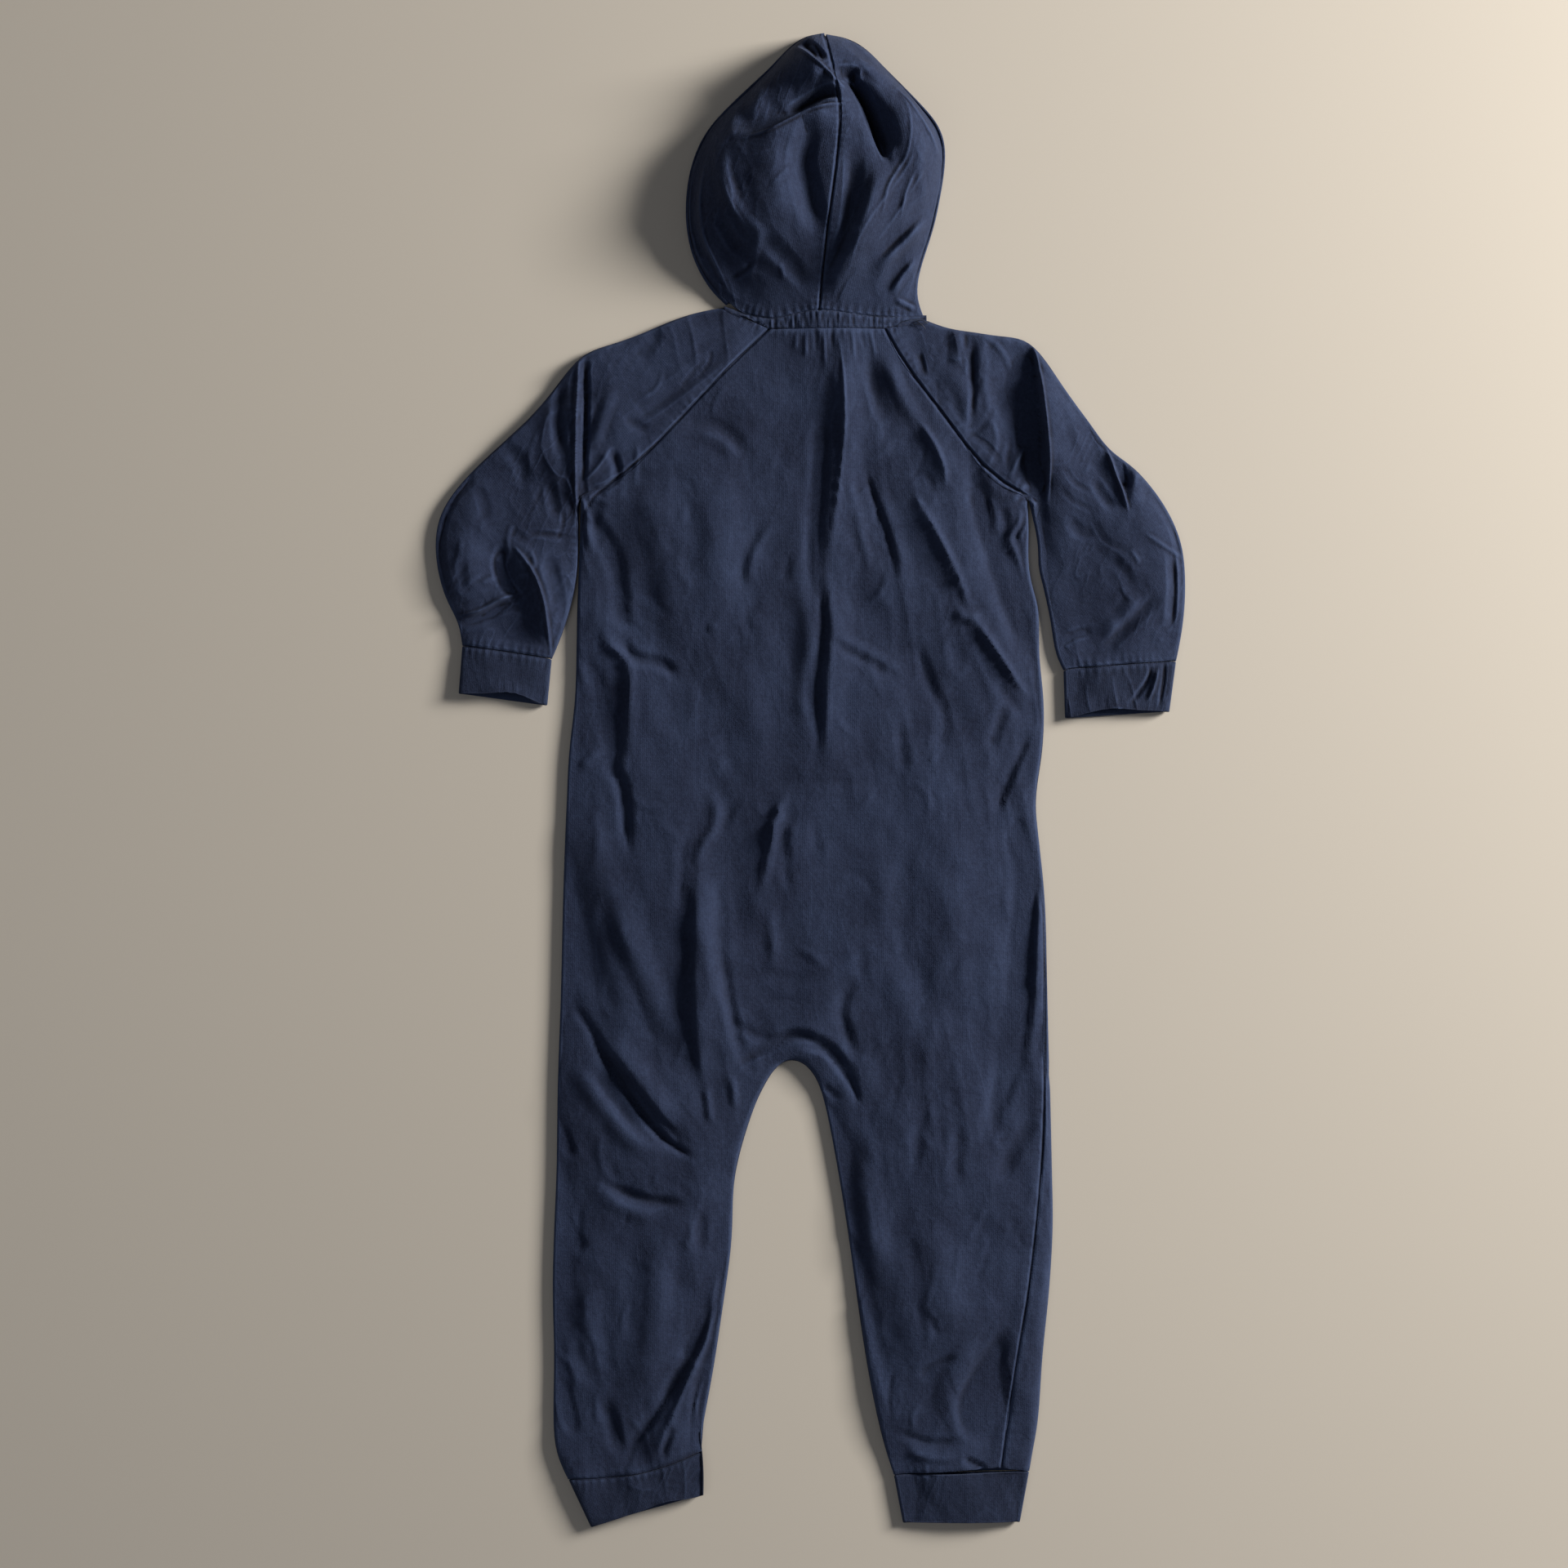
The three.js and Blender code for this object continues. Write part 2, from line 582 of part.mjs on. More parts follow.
function topBetween(a, b, count, hooded = false, bend = () => 0) {
  return Array.from({ length: count - 1 }, (_, i) => {
    const share = (i + 1) / count;
    return topPoint(mix(a.at.x, b.at.x, share), mix(a.at.y, b.at.y, share) + bend(share), hooded);
  });
}

function lowBetween(a, b, count, bend = () => 0) {
  return Array.from({ length: count - 1 }, (_, i) => {
    const share = (i + 1) / count;
    return lowPoint(mix(a.at.x, b.at.x, share), mix(a.at.y, b.at.y, share) + bend(share));
  });
}

// Walls

// One closed solid from sheets of points. Points at the same place are one point.
function wall(sheets) {
  const points = [];
  const known = new Map();
  const faces = [];
  const indexOf = (point) => {
    const key = point.at.toArray().map((value) => Math.round(value * POINT_GRID)).join();
    if (!known.has(key)) known.set(key, points.push(point) - 1);
    return known.get(key);
  };
  for (const sheet of sheets) {
    const grid = sheet.map((row) => row.map(indexOf));
    for (let i = 0; i + 1 < grid.length; i++) {
      for (let j = 0; j + 1 < grid[i].length; j++) {
        const corners = [grid[i][j], grid[i + 1][j], grid[i + 1][j + 1], grid[i][j + 1]];
        const [a, b, c, d] = corners;
        const across = points[a].at.distanceTo(points[c].at) > points[b].at.distanceTo(points[d].at);
        const pair = across ? [[a, b, d], [b, c, d]] : [[a, b, c], [a, c, d]];
        faces.push(...pair.filter((face) => new Set(face).size === 3));
      }
    }
  }
  const size = points.length;
  const outer = points.map(({ at, out, lift = 0 }) => at.clone().addScaledVector(out, HALF + lift));
  const inner = points.map(({ at, out }) => at.clone().addScaledVector(out, -HALF));
  const index = faces.flatMap(([a, b, c]) => [a, b, c, size + c, size + b, size + a]);
  const sides = new Set(faces.flatMap(([a, b, c]) => [`${a},${b}`, `${b},${c}`, `${c},${a}`]));
  for (const side of sides) {
    const [a, b] = side.split(",").map(Number);
    if (!sides.has(`${b},${a}`)) index.push(b, a, size + a, b, size + a, size + b);
  }
  const geometry = new THREE.BufferGeometry();
  geometry.setFromPoints([...outer, ...inner]);
  geometry.setIndex(index);
  geometry.computeVertexNormals();
  return geometry;
}

function reversed(sheet) {
  return sheet.map((row) => [...row].reverse());
}

// Rows of the trunk and legs, shared by the back and the fronts.

function sewnEdge(curve, share, turn) {
  return { ...onEdge(curve, share, turn), sewn: true };
}

function centreX(y) {
  return y > 0 ? ZIP_X : mix(ZIP_X, CROTCH.x, smooth(y / CROTCH.y));
}

function bodyRows() {
  const raglan = Array.from({ length: RAGLAN_ROWS + 1 }, (_, i) => {
    const left = sewnEdge(edges.raglanLeft, i / RAGLAN_ROWS, 1);
    const right = sewnEdge(edges.raglanRight, i / RAGLAN_ROWS, -1);
    return alongRow({ left, right }, "left", "right");
  });
  const top = SIDES[0].y;
  const last = CROTCH.y + TURN;
  const trunk = Array.from({ length: TRUNK_ROWS + 1 }, (_, i) => {
    const y = mix(top, last, i / TRUNK_ROWS);
    return { left: onSide("left", y), right: onSide("right", y) };
  });
  const legs = Array.from({ length: LEG_ROWS }, (_, i) => {
    const share = (i + 1) / LEG_ROWS;
    const eased = share ** ARCH_EASE;
    return {
      left: onSide("left", mix(last, LEFT_HEM_Y, share)),
      right: onSide("right", mix(last, RIGHT_HEM_Y, share)),
      innerLeft: onEdge(edges.innerLeft, eased, -1),
      innerRight: onEdge(edges.innerRight, eased, 1),
      share,
    };
  });
  return { trunk: [...raglan, ...trunk], legs };
}

const BODY = bodyRows();
const APEX = { place: new THREE.Vector2(CROTCH.x, CROTCH.y), out: new THREE.Vector2(0, -1) };

// The hem seams hang a little lower in their middle.
function hemBend(side, share) {
  const near = smooth((share - HEM_BEND_FROM) / (1 - HEM_BEND_FROM));
  return (across) => -HEM_BOW[side] * near * Math.sin(Math.PI * across);
}

// The back

// The right side seam, which turns up onto the back below the hip.
function sideSeamInset(y) {
  return y > SIDE_SEAM[0].y ? 0 : column(SIDE_SEAM, "y", "inset", Math.max(y, -470));
}

// Along a folded right edge, measured on the cloth from the middle of the fold: upwards is positive.
function alongFold(edge, length) {
  const angle = length / FOLD;
  if (angle <= QUARTER) return turnPoint(edge, angle);
  const { x, y } = inFrom(edge, TURN + length - FOLD * QUARTER);
  return topPoint(x, y);
}

const HALF_SEAM_ON_FOLD = FOLD * SEAM_TURN;

function backRightStrip(row) {
  if (row.right.sewn) return topStrip(row.right);
  const start = sideSeamInset(row.right.place.y) + HALF_SEAM_ON_FOLD;
  const end = Math.max(FOLD * QUARTER, start + 2);
  return [start, mix(start, end, 0.5), end].map((length) => alongFold(row.right, length));
}

function centrePoint(row) {
  const a = row.left.place;
  const b = row.right.place;
  const middle = (a.y + b.y) / 2;
  const share = (centreX(middle) - a.x) / (b.x - a.x);
  return topPoint(centreX(middle), mix(a.y, b.y, share));
}

function backSheets() {
  const left = [];
  const right = [];
  BODY.trunk.forEach((row, i) => {
    const isLast = i === BODY.trunk.length - 1;
    const centre = isLast ? topPoint(CROTCH.x, CROTCH.y + TURN) : centrePoint(row);
    const leftStrip = topStrip(row.left);
    const rightStrip = backRightStrip(row);
    left.push([...leftStrip, ...topBetween(leftStrip[2], centre, BACK_COLUMNS), centre]);
    right.push([...rightStrip, ...topBetween(rightStrip[2], centre, BACK_COLUMNS), centre]);
  });
  const band = [topStrip(APEX)];
  for (const row of BODY.legs) {
    const leftStrip = topStrip(row.left);
    const rightStrip = backRightStrip(row);
    const innerLeft = topStrip(row.innerLeft);
    const innerRight = topStrip(row.innerRight);
    const bends = [hemBend("left", row.share), hemBend("right", row.share)];
    left.push([
      ...leftStrip,
      ...topBetween(leftStrip[2], innerLeft[2], BACK_COLUMNS, false, bends[0]),
      innerLeft[2],
    ]);
    right.push([
      ...rightStrip,
      ...topBetween(rightStrip[2], innerRight[2], BACK_COLUMNS, false, bends[1]),
      innerRight[2],
    ]);
    band.unshift(innerLeft);
    band.push(innerRight);
  }
  return [left, reversed(right), band];
}

// The fronts, which lie below. Each runs from the zip, or the seam under it, to its side seam.

function frontSheets(name) {
  const isLeft = name === "left";
  const sign = isLeft ? -1 : 1;
  const sheet = [];
  const centreOf = (row) => {
    const a = row.left.place;
    const b = row.right.place;
    const middle = (a.y + b.y) / 2;
    const open = smooth((middle - ZIP_END + ZIP_OPENING.below) / ZIP_OPENING.over);
    const x = centreX(middle) + sign * mix(SEAM / 2, ZIP_HALF_GAP, open);
    return lowPoint(x, mix(a.y, b.y, (x - a.x) / (b.x - a.x)));
  };
  BODY.trunk.forEach((row, i) => {
    const isLast = i === BODY.trunk.length - 1;
    const centre = isLast ? lowPoint(CROTCH.x + (sign * SEAM) / 2, CROTCH.y + TURN) : centreOf(row);
    const side = isLeft ? lowStrip(row.left) : frontRightStrip(row);
    sheet.push([...side, ...lowBetween(side[side.length - 1], centre, FRONT_COLUMNS), centre]);
  });
  const shifted = { place: APEX.place.clone().setX(CROTCH.x + (sign * SEAM) / 2), out: APEX.out };
  const band = [lowStrip(shifted)];
  for (const row of BODY.legs) {
    const side = isLeft ? lowStrip(row.left) : frontRightStrip(row);
    const inner = lowStrip(isLeft ? row.innerLeft : row.innerRight);
    const bend = hemBend(name, row.share);
    sheet.push([...side, ...lowBetween(side[side.length - 1], inner[2], FRONT_COLUMNS, bend), inner[2]]);
    band.push(inner);
  }
  return isLeft ? [reversed(sheet), band] : [sheet, reversed(band)];
}

// From the side seam down round the fold to the flat cloth below.
function frontRightStrip(row) {
  const edge = row.right;
  const flat = TURN * 2;
  if (edge.sewn) {
    return [SEAM / 2, SEWN_STRIP, TURN, TURN * 1.5, flat].map((distance) => {
      const { x, y } = inFrom(edge, distance);
      return lowPoint(x, y);
    });
  }
  const end = sideSeamInset(edge.place.y) - HALF_SEAM_ON_FOLD;
  const { x, y } = inFrom(edge, flat);
  const crest = FOLD * QUARTER;
  const isOnFold = end < crest;
  return [
    alongFold(edge, end),
    alongFold(edge, isOnFold ? mix(end, -crest, 0.3) : crest),
    alongFold(edge, isOnFold ? mix(end, -crest, 0.6) : 0),
    alongFold(edge, -crest),
    lowPoint(x, y),
  ];
}

// Sleeves. Each row runs from the inner edge over the top to the outer edge and back below.

function sleeveRows(side) {
  const isLeft = side === "left";
  const turn = isLeft ? 1 : -1;
  const raglan = isLeft ? edges.raglanLeft : edges.raglanRight;
  const outer = isLeft ? edges.armOuterLeft : edges.armOuterRight;
  const inner = isLeft ? edges.armInnerLeft : edges.armInnerRight;
  const yoke = isLeft ? 0.47 : 0.44; // share of the outer edge that lies above the armpit
  const outerEdge = (share) => onEdge(outer, share, turn);
  const rows = Array.from({ length: RAGLAN_ROWS + 1 }, (_, i) => {
    const share = i / RAGLAN_ROWS;
    const seam = onEdge(raglan, share, -turn);
    const row = { inner: { ...seam, sewn: true }, outer: outerEdge(share * yoke) };
    return alongRow(row, "inner", "outer");
  });
  for (let i = 0; i <= ARM_ROWS; i++) {
    const share = i / ARM_ROWS;
    const along = mix(yoke, 1, (i + 0.5) / (ARM_ROWS + 0.5));
    rows.push({ inner: onEdge(inner, share, -turn), outer: outerEdge(along) });
  }
  return rows;
}

// A flattened tube, open along the middle of its inner fold, where its seam lies.
function tubeRow(row, columns, topBend, lowBend, hooded = false) {
  const topStart = topStrip(row.inner, hooded);
  const lowEnd = [...lowStrip(row.inner)].reverse();
  const { x, y } = inFrom(row.outer, TURN);
  const topEnd = topPoint(x, y, hooded);
  const round = [QUARTER / 2, 0, -QUARTER / 2, -QUARTER].map((angle) => turnPoint(row.outer, angle));
  return [
    ...topStart,
    ...topBetween(topStart[2], topEnd, columns, hooded, topBend),
    topEnd,
    ...round,
    ...lowBetween(round[3], lowEnd[0], UNDER_COLUMNS, lowBend),
    ...lowEnd,
  ];
}

function sleeveSheets(side) {
  const sheet = sleeveRows(side).map((row) => tubeRow(row, ARM_COLUMNS));
  return [side === "left" ? reversed(sheet) : sheet];
}

// The last row of the piece that a cuff is sewn to.
function rowAbove(name) {
  const side = name.endsWith("left") ? "left" : "right";
  if (name.startsWith("sleeve")) return sleeveRows(side).at(-1);
  const row = BODY.legs.at(-1);
  if (side === "left") return { outer: row.left, inner: row.innerLeft };
  return { outer: row.right, inner: row.innerRight };
}

// A cuff is a short tube. Its first row repeats the last row above it, one seam lower.
function cuffSheets(name) {
  const { outer, inner, back, bow } = CUFFS[name];
  const above = rowAbove(name);
  const down = new THREE.Vector2();
  for (const [start, end] of [outer, inner]) down.add(new THREE.Vector2(end.x - start.x, end.y - start.y));
  down.normalize();
  const edgeAt = (line, first, share) => {
    const end = new THREE.Vector2(line[1].x, line[1].y);
    const start = first.place.clone().addScaledVector(down, SEAM);
    const along = end.clone().sub(start).normalize();
    const side = new THREE.Vector2(-along.y, along.x);
    if (side.dot(first.out) < 0) side.negate();
    const facing = first.out.clone().lerp(side, smooth(share * 2)).normalize();
    return { place: start.lerp(end, share), out: facing };
  };
  const sheet = Array.from({ length: CUFF_ROWS + 1 }, (_, i) => {
    const share = i / CUFF_ROWS;
    const row = { outer: edgeAt(outer, above.outer, share), inner: edgeAt(inner, above.inner, share) };
    const hang = (across) => -bow * (1 - share) * Math.sin(Math.PI * across);
    const short = (across) => hang(across) + back * share * Math.sin(Math.PI * across);
    return tubeRow(row, CUFF_COLUMNS, short, hang);
  });
  return [cuffFacesOut(name) ? sheet : reversed(sheet)];
}

function cuffFacesOut(name) {
  return name === "sleeve_cuff_right" || name === "leg_cuff_right";
}

// The hood: two halves sewn together over the middle, turning under to the face opening.

function hoodSheets(side) {
  const isLeft = side === "left";
  const sign = isLeft ? -1 : 1;
  const outline = isLeft ? edges.hoodLeft : edges.hoodRight;
  const neckLow = (x) => {
    const table = isLeft ? SLEEVE_OUTER_LEFT : SLEEVE_OUTER_RIGHT;
    const start = isLeft ? RAGLAN_LEFT[0] : RAGLAN_RIGHT[0];
    const share = THREE.MathUtils.clamp((x - start.x) / (table[0].x - start.x), 0, 1);
    return mix(start.y, table[0].y, share) + SEAM;
  };
  const sheet = [];
  for (let i = 0; i <= HOOD_ROWS; i++) {
    const share = i / HOOD_ROWS;
    const outer = onEdge(outline, share, sign);
    const seam = edges.hoodSeam.getPointAt(share);
    const fade = Math.max(0, 1 - i / HOOD_NECK_ROWS) ** 2;
    const { x, y } = inFrom(outer, TURN);
    const neck = i === 0 ? column(NECK_HIGH, "x", "y", x) : y;
    const topEnd = topPoint(x, Math.max(y, neck), true);
    const start = [HOOD_SEAM_GAP / 2, SEWN_STRIP, TURN].map((distance) => {
      const px = seam.x + sign * distance;
      const slant = ((outer.place.y - seam.y) * distance) / Math.abs(outer.place.x - seam.x);
      return topPoint(px, seam.y + (i === HOOD_ROWS ? 0 : slant * (1 - fade)), true);
    });
    const bowTop = (s) => {
      const px = mix(start[2].at.x, topEnd.at.x, s);
      const line = mix(start[2].at.y, topEnd.at.y, s);
      return fade * (column(NECK_HIGH, "x", "y", px) - line);
    };
    const round = [QUARTER / 2, 0, -QUARTER / 2, -QUARTER].map((angle) => turnPoint(outer, angle));
    const reach = Math.min(1, column(FACE_EDGE, "row", "reach", share));
    const zipSide = new THREE.Vector2(ZIP_X + sign * ZIP_HALF_GAP, ZIP_TOP + 4);
    const target = seam.clone().setX(seam.x + (sign * HOOD_SEAM_GAP) / 2).lerp(zipSide, fade);
    const from = round[3].at;
    const end = new THREE.Vector2(mix(from.x, target.x, reach), mix(from.y, target.y, reach));
    const low = Array.from({ length: UNDER_COLUMNS }, (_, k) => {
      const s = (k + 1) / UNDER_COLUMNS;
      const px = mix(from.x, end.x, s);
      const line = mix(from.y, end.y, s);
      return lowPoint(px, mix(line, neckLow(px), fade));
    });
    if (i === 0) {
      [...round, topEnd].forEach(({ at }) => {
        at.y = Math.max(at.y, neckLow(at.x));
      });
    }
    const top = topBetween(start[2], topEnd, HOOD_COLUMNS, true, bowTop);
    sheet.push([...start, ...top, topEnd, ...round, ...low]);
  }
  return [isLeft ? sheet : reversed(sheet)];
}

// The gathered tape over the neck seam.

function neckTapeSheets() {
  const from = NECK_HIGH[0].x + TURN + TAPE_SHORT;
  const to = NECK_HIGH[NECK_HIGH.length - 1].x - TURN - TAPE_SHORT;
  const ribStep = (TAPE_RIBS.to - TAPE_RIBS.from) / TAPE_RIBS.count / TAPE_RIBS.perRib;
  const xs = [];
  for (let x = from; x < TAPE_RIBS.from; x += TAPE_PLAIN_STEP) xs.push(x);
  for (let i = 0; i <= TAPE_RIBS.count * TAPE_RIBS.perRib; i++) xs.push(TAPE_RIBS.from + i * ribStep);
  for (let x = to; x > TAPE_RIBS.to; x -= TAPE_PLAIN_STEP) xs.push(x);
  xs.sort((a, b) => a - b);
  const lower = (x) => {
    const left = RAGLAN_LEFT[0];
    const right = RAGLAN_RIGHT[0];
    const armLeft = SLEEVE_OUTER_LEFT[0];
    const armRight = SLEEVE_OUTER_RIGHT[0];
    if (x < left.x) return mix(left.y, armLeft.y, (left.x - x) / (left.x - armLeft.x));
    if (x > right.x) return mix(right.y, armRight.y, (x - right.x) / (armRight.x - right.x));
    return left.y;
  };
  const rows = xs.map((x) => {
    const low = lower(x) + SEAM;
    const high = column(NECK_HIGH, "x", "y", x) - SEAM;
    const phase = ((x - TAPE_RIBS.from) / ribStep / TAPE_RIBS.perRib) * 2 * Math.PI;
    const ribbed = x >= TAPE_RIBS.from && x <= TAPE_RIBS.to;
    const lift = ribbed ? TAPE_RIBS.height * (0.5 - 0.5 * Math.cos(phase)) : 0;
    return [topPoint(x, low), topPoint(x, (low + high) / 2, false, lift), topPoint(x, high)];
  });
  return [rows];
}

// The zip

function block(width, length, height, x, y, z) {
  const geometry = new THREE.BoxGeometry(width, length, height);
  geometry.translate(x, y, z);
  return geometry;
}

function solidOf(geometry) {
  const bare = geometry.clone();
  bare.deleteAttribute("normal");
  bare.deleteAttribute("uv");
  const merged = mergeVertices(bare, 1e-4);
  return new wasm.Manifold(
    new wasm.Mesh({
      numProp: 3,
      vertProperties: new Float32Array(merged.attributes.position.array),
      triVerts: new Uint32Array(merged.index.array),
    }),
  );
}

function geometryOf(solid) {
  const mesh = solid.getMesh();
  const geometry = new THREE.BufferGeometry();
  geometry.setAttribute("position", new THREE.BufferAttribute(new Float32Array(mesh.vertProperties), 3));
  geometry.setIndex(new THREE.BufferAttribute(new Uint32Array(mesh.triVerts), 1));
  geometry.computeVertexNormals();
  return geometry;
}

const PANEL_TOP = LOW_Z + ZIP_LIFT + HALF; // upper face of the fronts beside the zip
const TAPE_Z = PANEL_TOP + SEAM + TAPE.thick / 2;
const SLIDER_Y = ZIP_TOP - SLIDER.length / 2;
const LOWER_PLATE_Z = TAPE_Z - CHAIN.thick / 2 - SEAM - SLIDER.plate / 2;
const UPPER_PLATE_Z = TAPE_Z + CHAIN.thick / 2 + SEAM + SLIDER.plate / 2;
const PLATE_BOTTOM = LOWER_PLATE_Z - SLIDER.plate / 2;
const TAB_AXIS_Z = PLATE_BOTTOM - BRIDGE.room / 2;

function zipTape(sign) {
  const width = TAPE.outer - TAPE.inner;
  const x = ZIP_X + sign * (TAPE.inner + width / 2);
  return block(width, ZIP_TOP - ZIP_END, TAPE.thick, x, (ZIP_TOP + ZIP_END) / 2, TAPE_Z);
}

function zipChain() {
  const top = SLIDER_Y + SLIDER.length / 2 - SLIDER.post - SEAM;
  return block(CHAIN.width, top - ZIP_END, CHAIN.thick, ZIP_X, (top + ZIP_END) / 2, TAPE_Z);
}

// Two plates joined by a post at the upper end, and a bridge below for the puller.
function zipSlider() {
  const plate = (z) => {
    const shape = new RoundedBoxGeometry(SLIDER.width, SLIDER.length, SLIDER.plate, 1, SLIDER.round);
    shape.translate(ZIP_X, SLIDER_Y, z);
    return solidOf(shape);
  };
  const postY = SLIDER_Y + (SLIDER.length - SLIDER.post) / 2;
  const height = UPPER_PLATE_Z - LOWER_PLATE_Z;
  const post = solidOf(block(SLIDER.post, POST_LENGTH, height, ZIP_X, postY, TAPE_Z));
  const depth = BRIDGE.room + BRIDGE.bar + BRIDGE.sunk;
  const bridgeZ = PLATE_BOTTOM + BRIDGE.sunk - depth / 2;
  const bridge = solidOf(block(BRIDGE.width, BRIDGE.length, depth, ZIP_X, SLIDER_Y, bridgeZ));
  const hole = solidOf(block(BRIDGE.width * 2, BRIDGE.hole, BRIDGE.room, ZIP_X, SLIDER_Y, TAB_AXIS_Z));
  return geometryOf(plate(LOWER_PLATE_Z).add(plate(UPPER_PLATE_Z)).add(post).add(bridge.subtract(hole)));
}

// The puller lies flat below the zip and turns about the bar inside the bridge.
function pullTab() {
  const barWidth = TAB.thick;
  const shape = new RoundedBoxGeometry(TAB.width, TAB.length, TAB.thick, 2, TAB.round);
  shape.translate(ZIP_X, SLIDER_Y + barWidth / 2 - TAB.length / 2, TAB_AXIS_Z);
  const windowY = SLIDER_Y - barWidth / 2 - TAB.windowLength / 2;
  const window = block(TAB.window, TAB.windowLength, TAB.thick * 2, ZIP_X, windowY, TAB_AXIS_Z);
  return geometryOf(solidOf(shape).subtract(solidOf(window)));
}

// The whole garment

function material(colour, roughness, metalness = 0) {
  return new THREE.MeshStandardMaterial({ color: colour, roughness, metalness });
}

const cloth = material(COLOURS.cloth, 0.95);
const rib = material(COLOURS.rib, 0.95);
const tape = material(COLOURS.tape, 0.9);
const metal = material(COLOURS.metal, 0.35, 0.9);

const garment = new THREE.Group();

function addPiece(name, geometry, finish) {
  const mesh = new THREE.Mesh(geometry, finish);
  mesh.name = name;
  garment.add(mesh);
}

addPiece("back", wall(backSheets()), cloth);
for (const side of ["left", "right"]) {
  const sign = side === "left" ? -1 : 1;
  addPiece(`front_${side}`, wall(frontSheets(side)), cloth);
  addPiece(`sleeve_${side}`, wall(sleeveSheets(side)), cloth);
  addPiece(`hood_${side}`, wall(hoodSheets(side)), cloth);
  addPiece(`zip_tape_${side}`, zipTape(sign), tape);
}
for (const name of Object.keys(CUFFS)) addPiece(name, wall(cuffSheets(name)), rib);
addPiece("neck_tape", wall(neckTapeSheets()), tape);
addPiece("zip_chain", zipChain(), metal);
addPiece("zip_slider", zipSlider(), metal);
addPiece("pull_tab", pullTab(), metal);

// The origin is the middle of the garment's box, on the surface it lies on.
const box = new THREE.Box3().setFromObject(garment);
garment.position.set(-(box.min.x + box.max.x) / 2, -(box.min.y + box.max.y) / 2, -box.min.z);

export default garment;
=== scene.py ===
# %% [markdown]
# A child's hooded one-piece in dark navy sweat knit, laid flat on its zipped front with its back up.
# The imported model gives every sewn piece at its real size. This lesson dresses it: each piece of cloth
# gets its creases, seams and knit, and the zip gets its teeth.

# %% The fixed frame
import math
from collections import namedtuple

import bmesh
import bpy
import numpy as np
from mathutils import Matrix, Vector
from mathutils.bvhtree import BVHTree


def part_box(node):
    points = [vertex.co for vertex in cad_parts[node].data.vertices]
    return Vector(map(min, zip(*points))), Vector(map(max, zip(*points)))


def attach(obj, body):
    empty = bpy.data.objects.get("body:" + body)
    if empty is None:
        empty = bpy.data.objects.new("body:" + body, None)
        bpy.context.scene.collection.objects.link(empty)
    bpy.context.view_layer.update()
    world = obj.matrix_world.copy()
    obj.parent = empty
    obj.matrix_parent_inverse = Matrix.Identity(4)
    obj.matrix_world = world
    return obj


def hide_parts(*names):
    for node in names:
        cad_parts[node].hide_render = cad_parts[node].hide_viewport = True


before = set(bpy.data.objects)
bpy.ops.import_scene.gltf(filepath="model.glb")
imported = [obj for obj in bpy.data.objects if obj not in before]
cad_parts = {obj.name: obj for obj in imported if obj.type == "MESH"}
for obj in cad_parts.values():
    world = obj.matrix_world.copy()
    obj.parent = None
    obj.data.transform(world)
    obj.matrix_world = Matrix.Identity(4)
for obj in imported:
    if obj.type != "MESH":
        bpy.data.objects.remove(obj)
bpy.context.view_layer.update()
MM = 0.001

# %% [markdown]
# The photograph looks straight down on the garment, so the camera hangs above it. A long lens could
# hang anywhere above; this one keeps the raised hood from growing much larger than the flat legs.

# %% Camera
VIEW_WIDTH = 1.056  # m of floor from one side of the picture to the other
VIEW_CENTRE = (-0.0177, -0.0026)
LENS = 70  # mm
SENSOR = 36  # mm
camera_data = bpy.data.cameras.new("camera")
camera_data.lens = LENS
camera_data.sensor_width = SENSOR
camera = bpy.data.objects.new("camera", camera_data)
camera.location = (*VIEW_CENTRE, VIEW_WIDTH * LENS / SENSOR)
bpy.context.scene.collection.objects.link(camera)
bpy.context.scene.camera = camera
print("camera", round(camera.location.z, 2), "m above the floor")

# %% [markdown]
# Folds in dark cloth show only by shading, so one large soft lamp stands low on the right, where the
# photograph's light comes from. A weak second lamp and an even sky fill the shadows.

# %% Light
KEY = dict(place=(2.35, 0.95, 1.08), size=0.85, power=143, colour=(1.0, 0.97, 0.925))
FILL = dict(place=(-1.2, -0.6, 2.4), size=2.0, power=7, colour=(0.90, 0.94, 1.0))
SKY = (0.86, 0.90, 1.0, 1.0)
SKY_STRENGTH = 0.095


def soft_lamp(name, place, size, power, colour):
    data = bpy.data.lights.new(name, "AREA")
    data.size = size
    data.energy = power
    data.color = colour
    lamp = bpy.data.objects.new(name, data)
    lamp.location = place
    lamp.rotation_euler = (-Vector(place)).to_track_quat("-Z", "Y").to_euler()
    bpy.context.scene.collection.objects.link(lamp)


soft_lamp("window", **KEY)
soft_lamp("bounce", **FILL)
bpy.context.scene.view_settings.view_transform = "Standard"  # keeps the deep navy's contrast
world = bpy.data.worlds.new("room")
world.use_nodes = True
world.node_tree.nodes["Background"].inputs["Color"].default_value = SKY
world.node_tree.nodes["Background"].inputs["Strength"].default_value = SKY_STRENGTH
bpy.context.scene.world = world
print("key lamp", KEY["power"], "W, fill lamp", FILL["power"], "W, sky", SKY_STRENGTH)

# %% [markdown]
# Materials are node graphs. A small helper adds a node and sets its sockets, and a second one wires
# two sockets, so that each finish below reads as a short list of steps.

# %% Node helpers


def new_material(name):
    material = bpy.data.materials.new(name)
    material.use_nodes = True
    tree = material.node_tree
    return material, tree, tree.nodes["Principled BSDF"]


def add_node(tree, kind, settings=None, **sockets):
    node = tree.nodes.new(kind)
    for key, value in (settings or {}).items():
        setattr(node, key, value)
    for key, value in sockets.items():
        node.inputs[key.replace("_", " ")].default_value = value
    return node


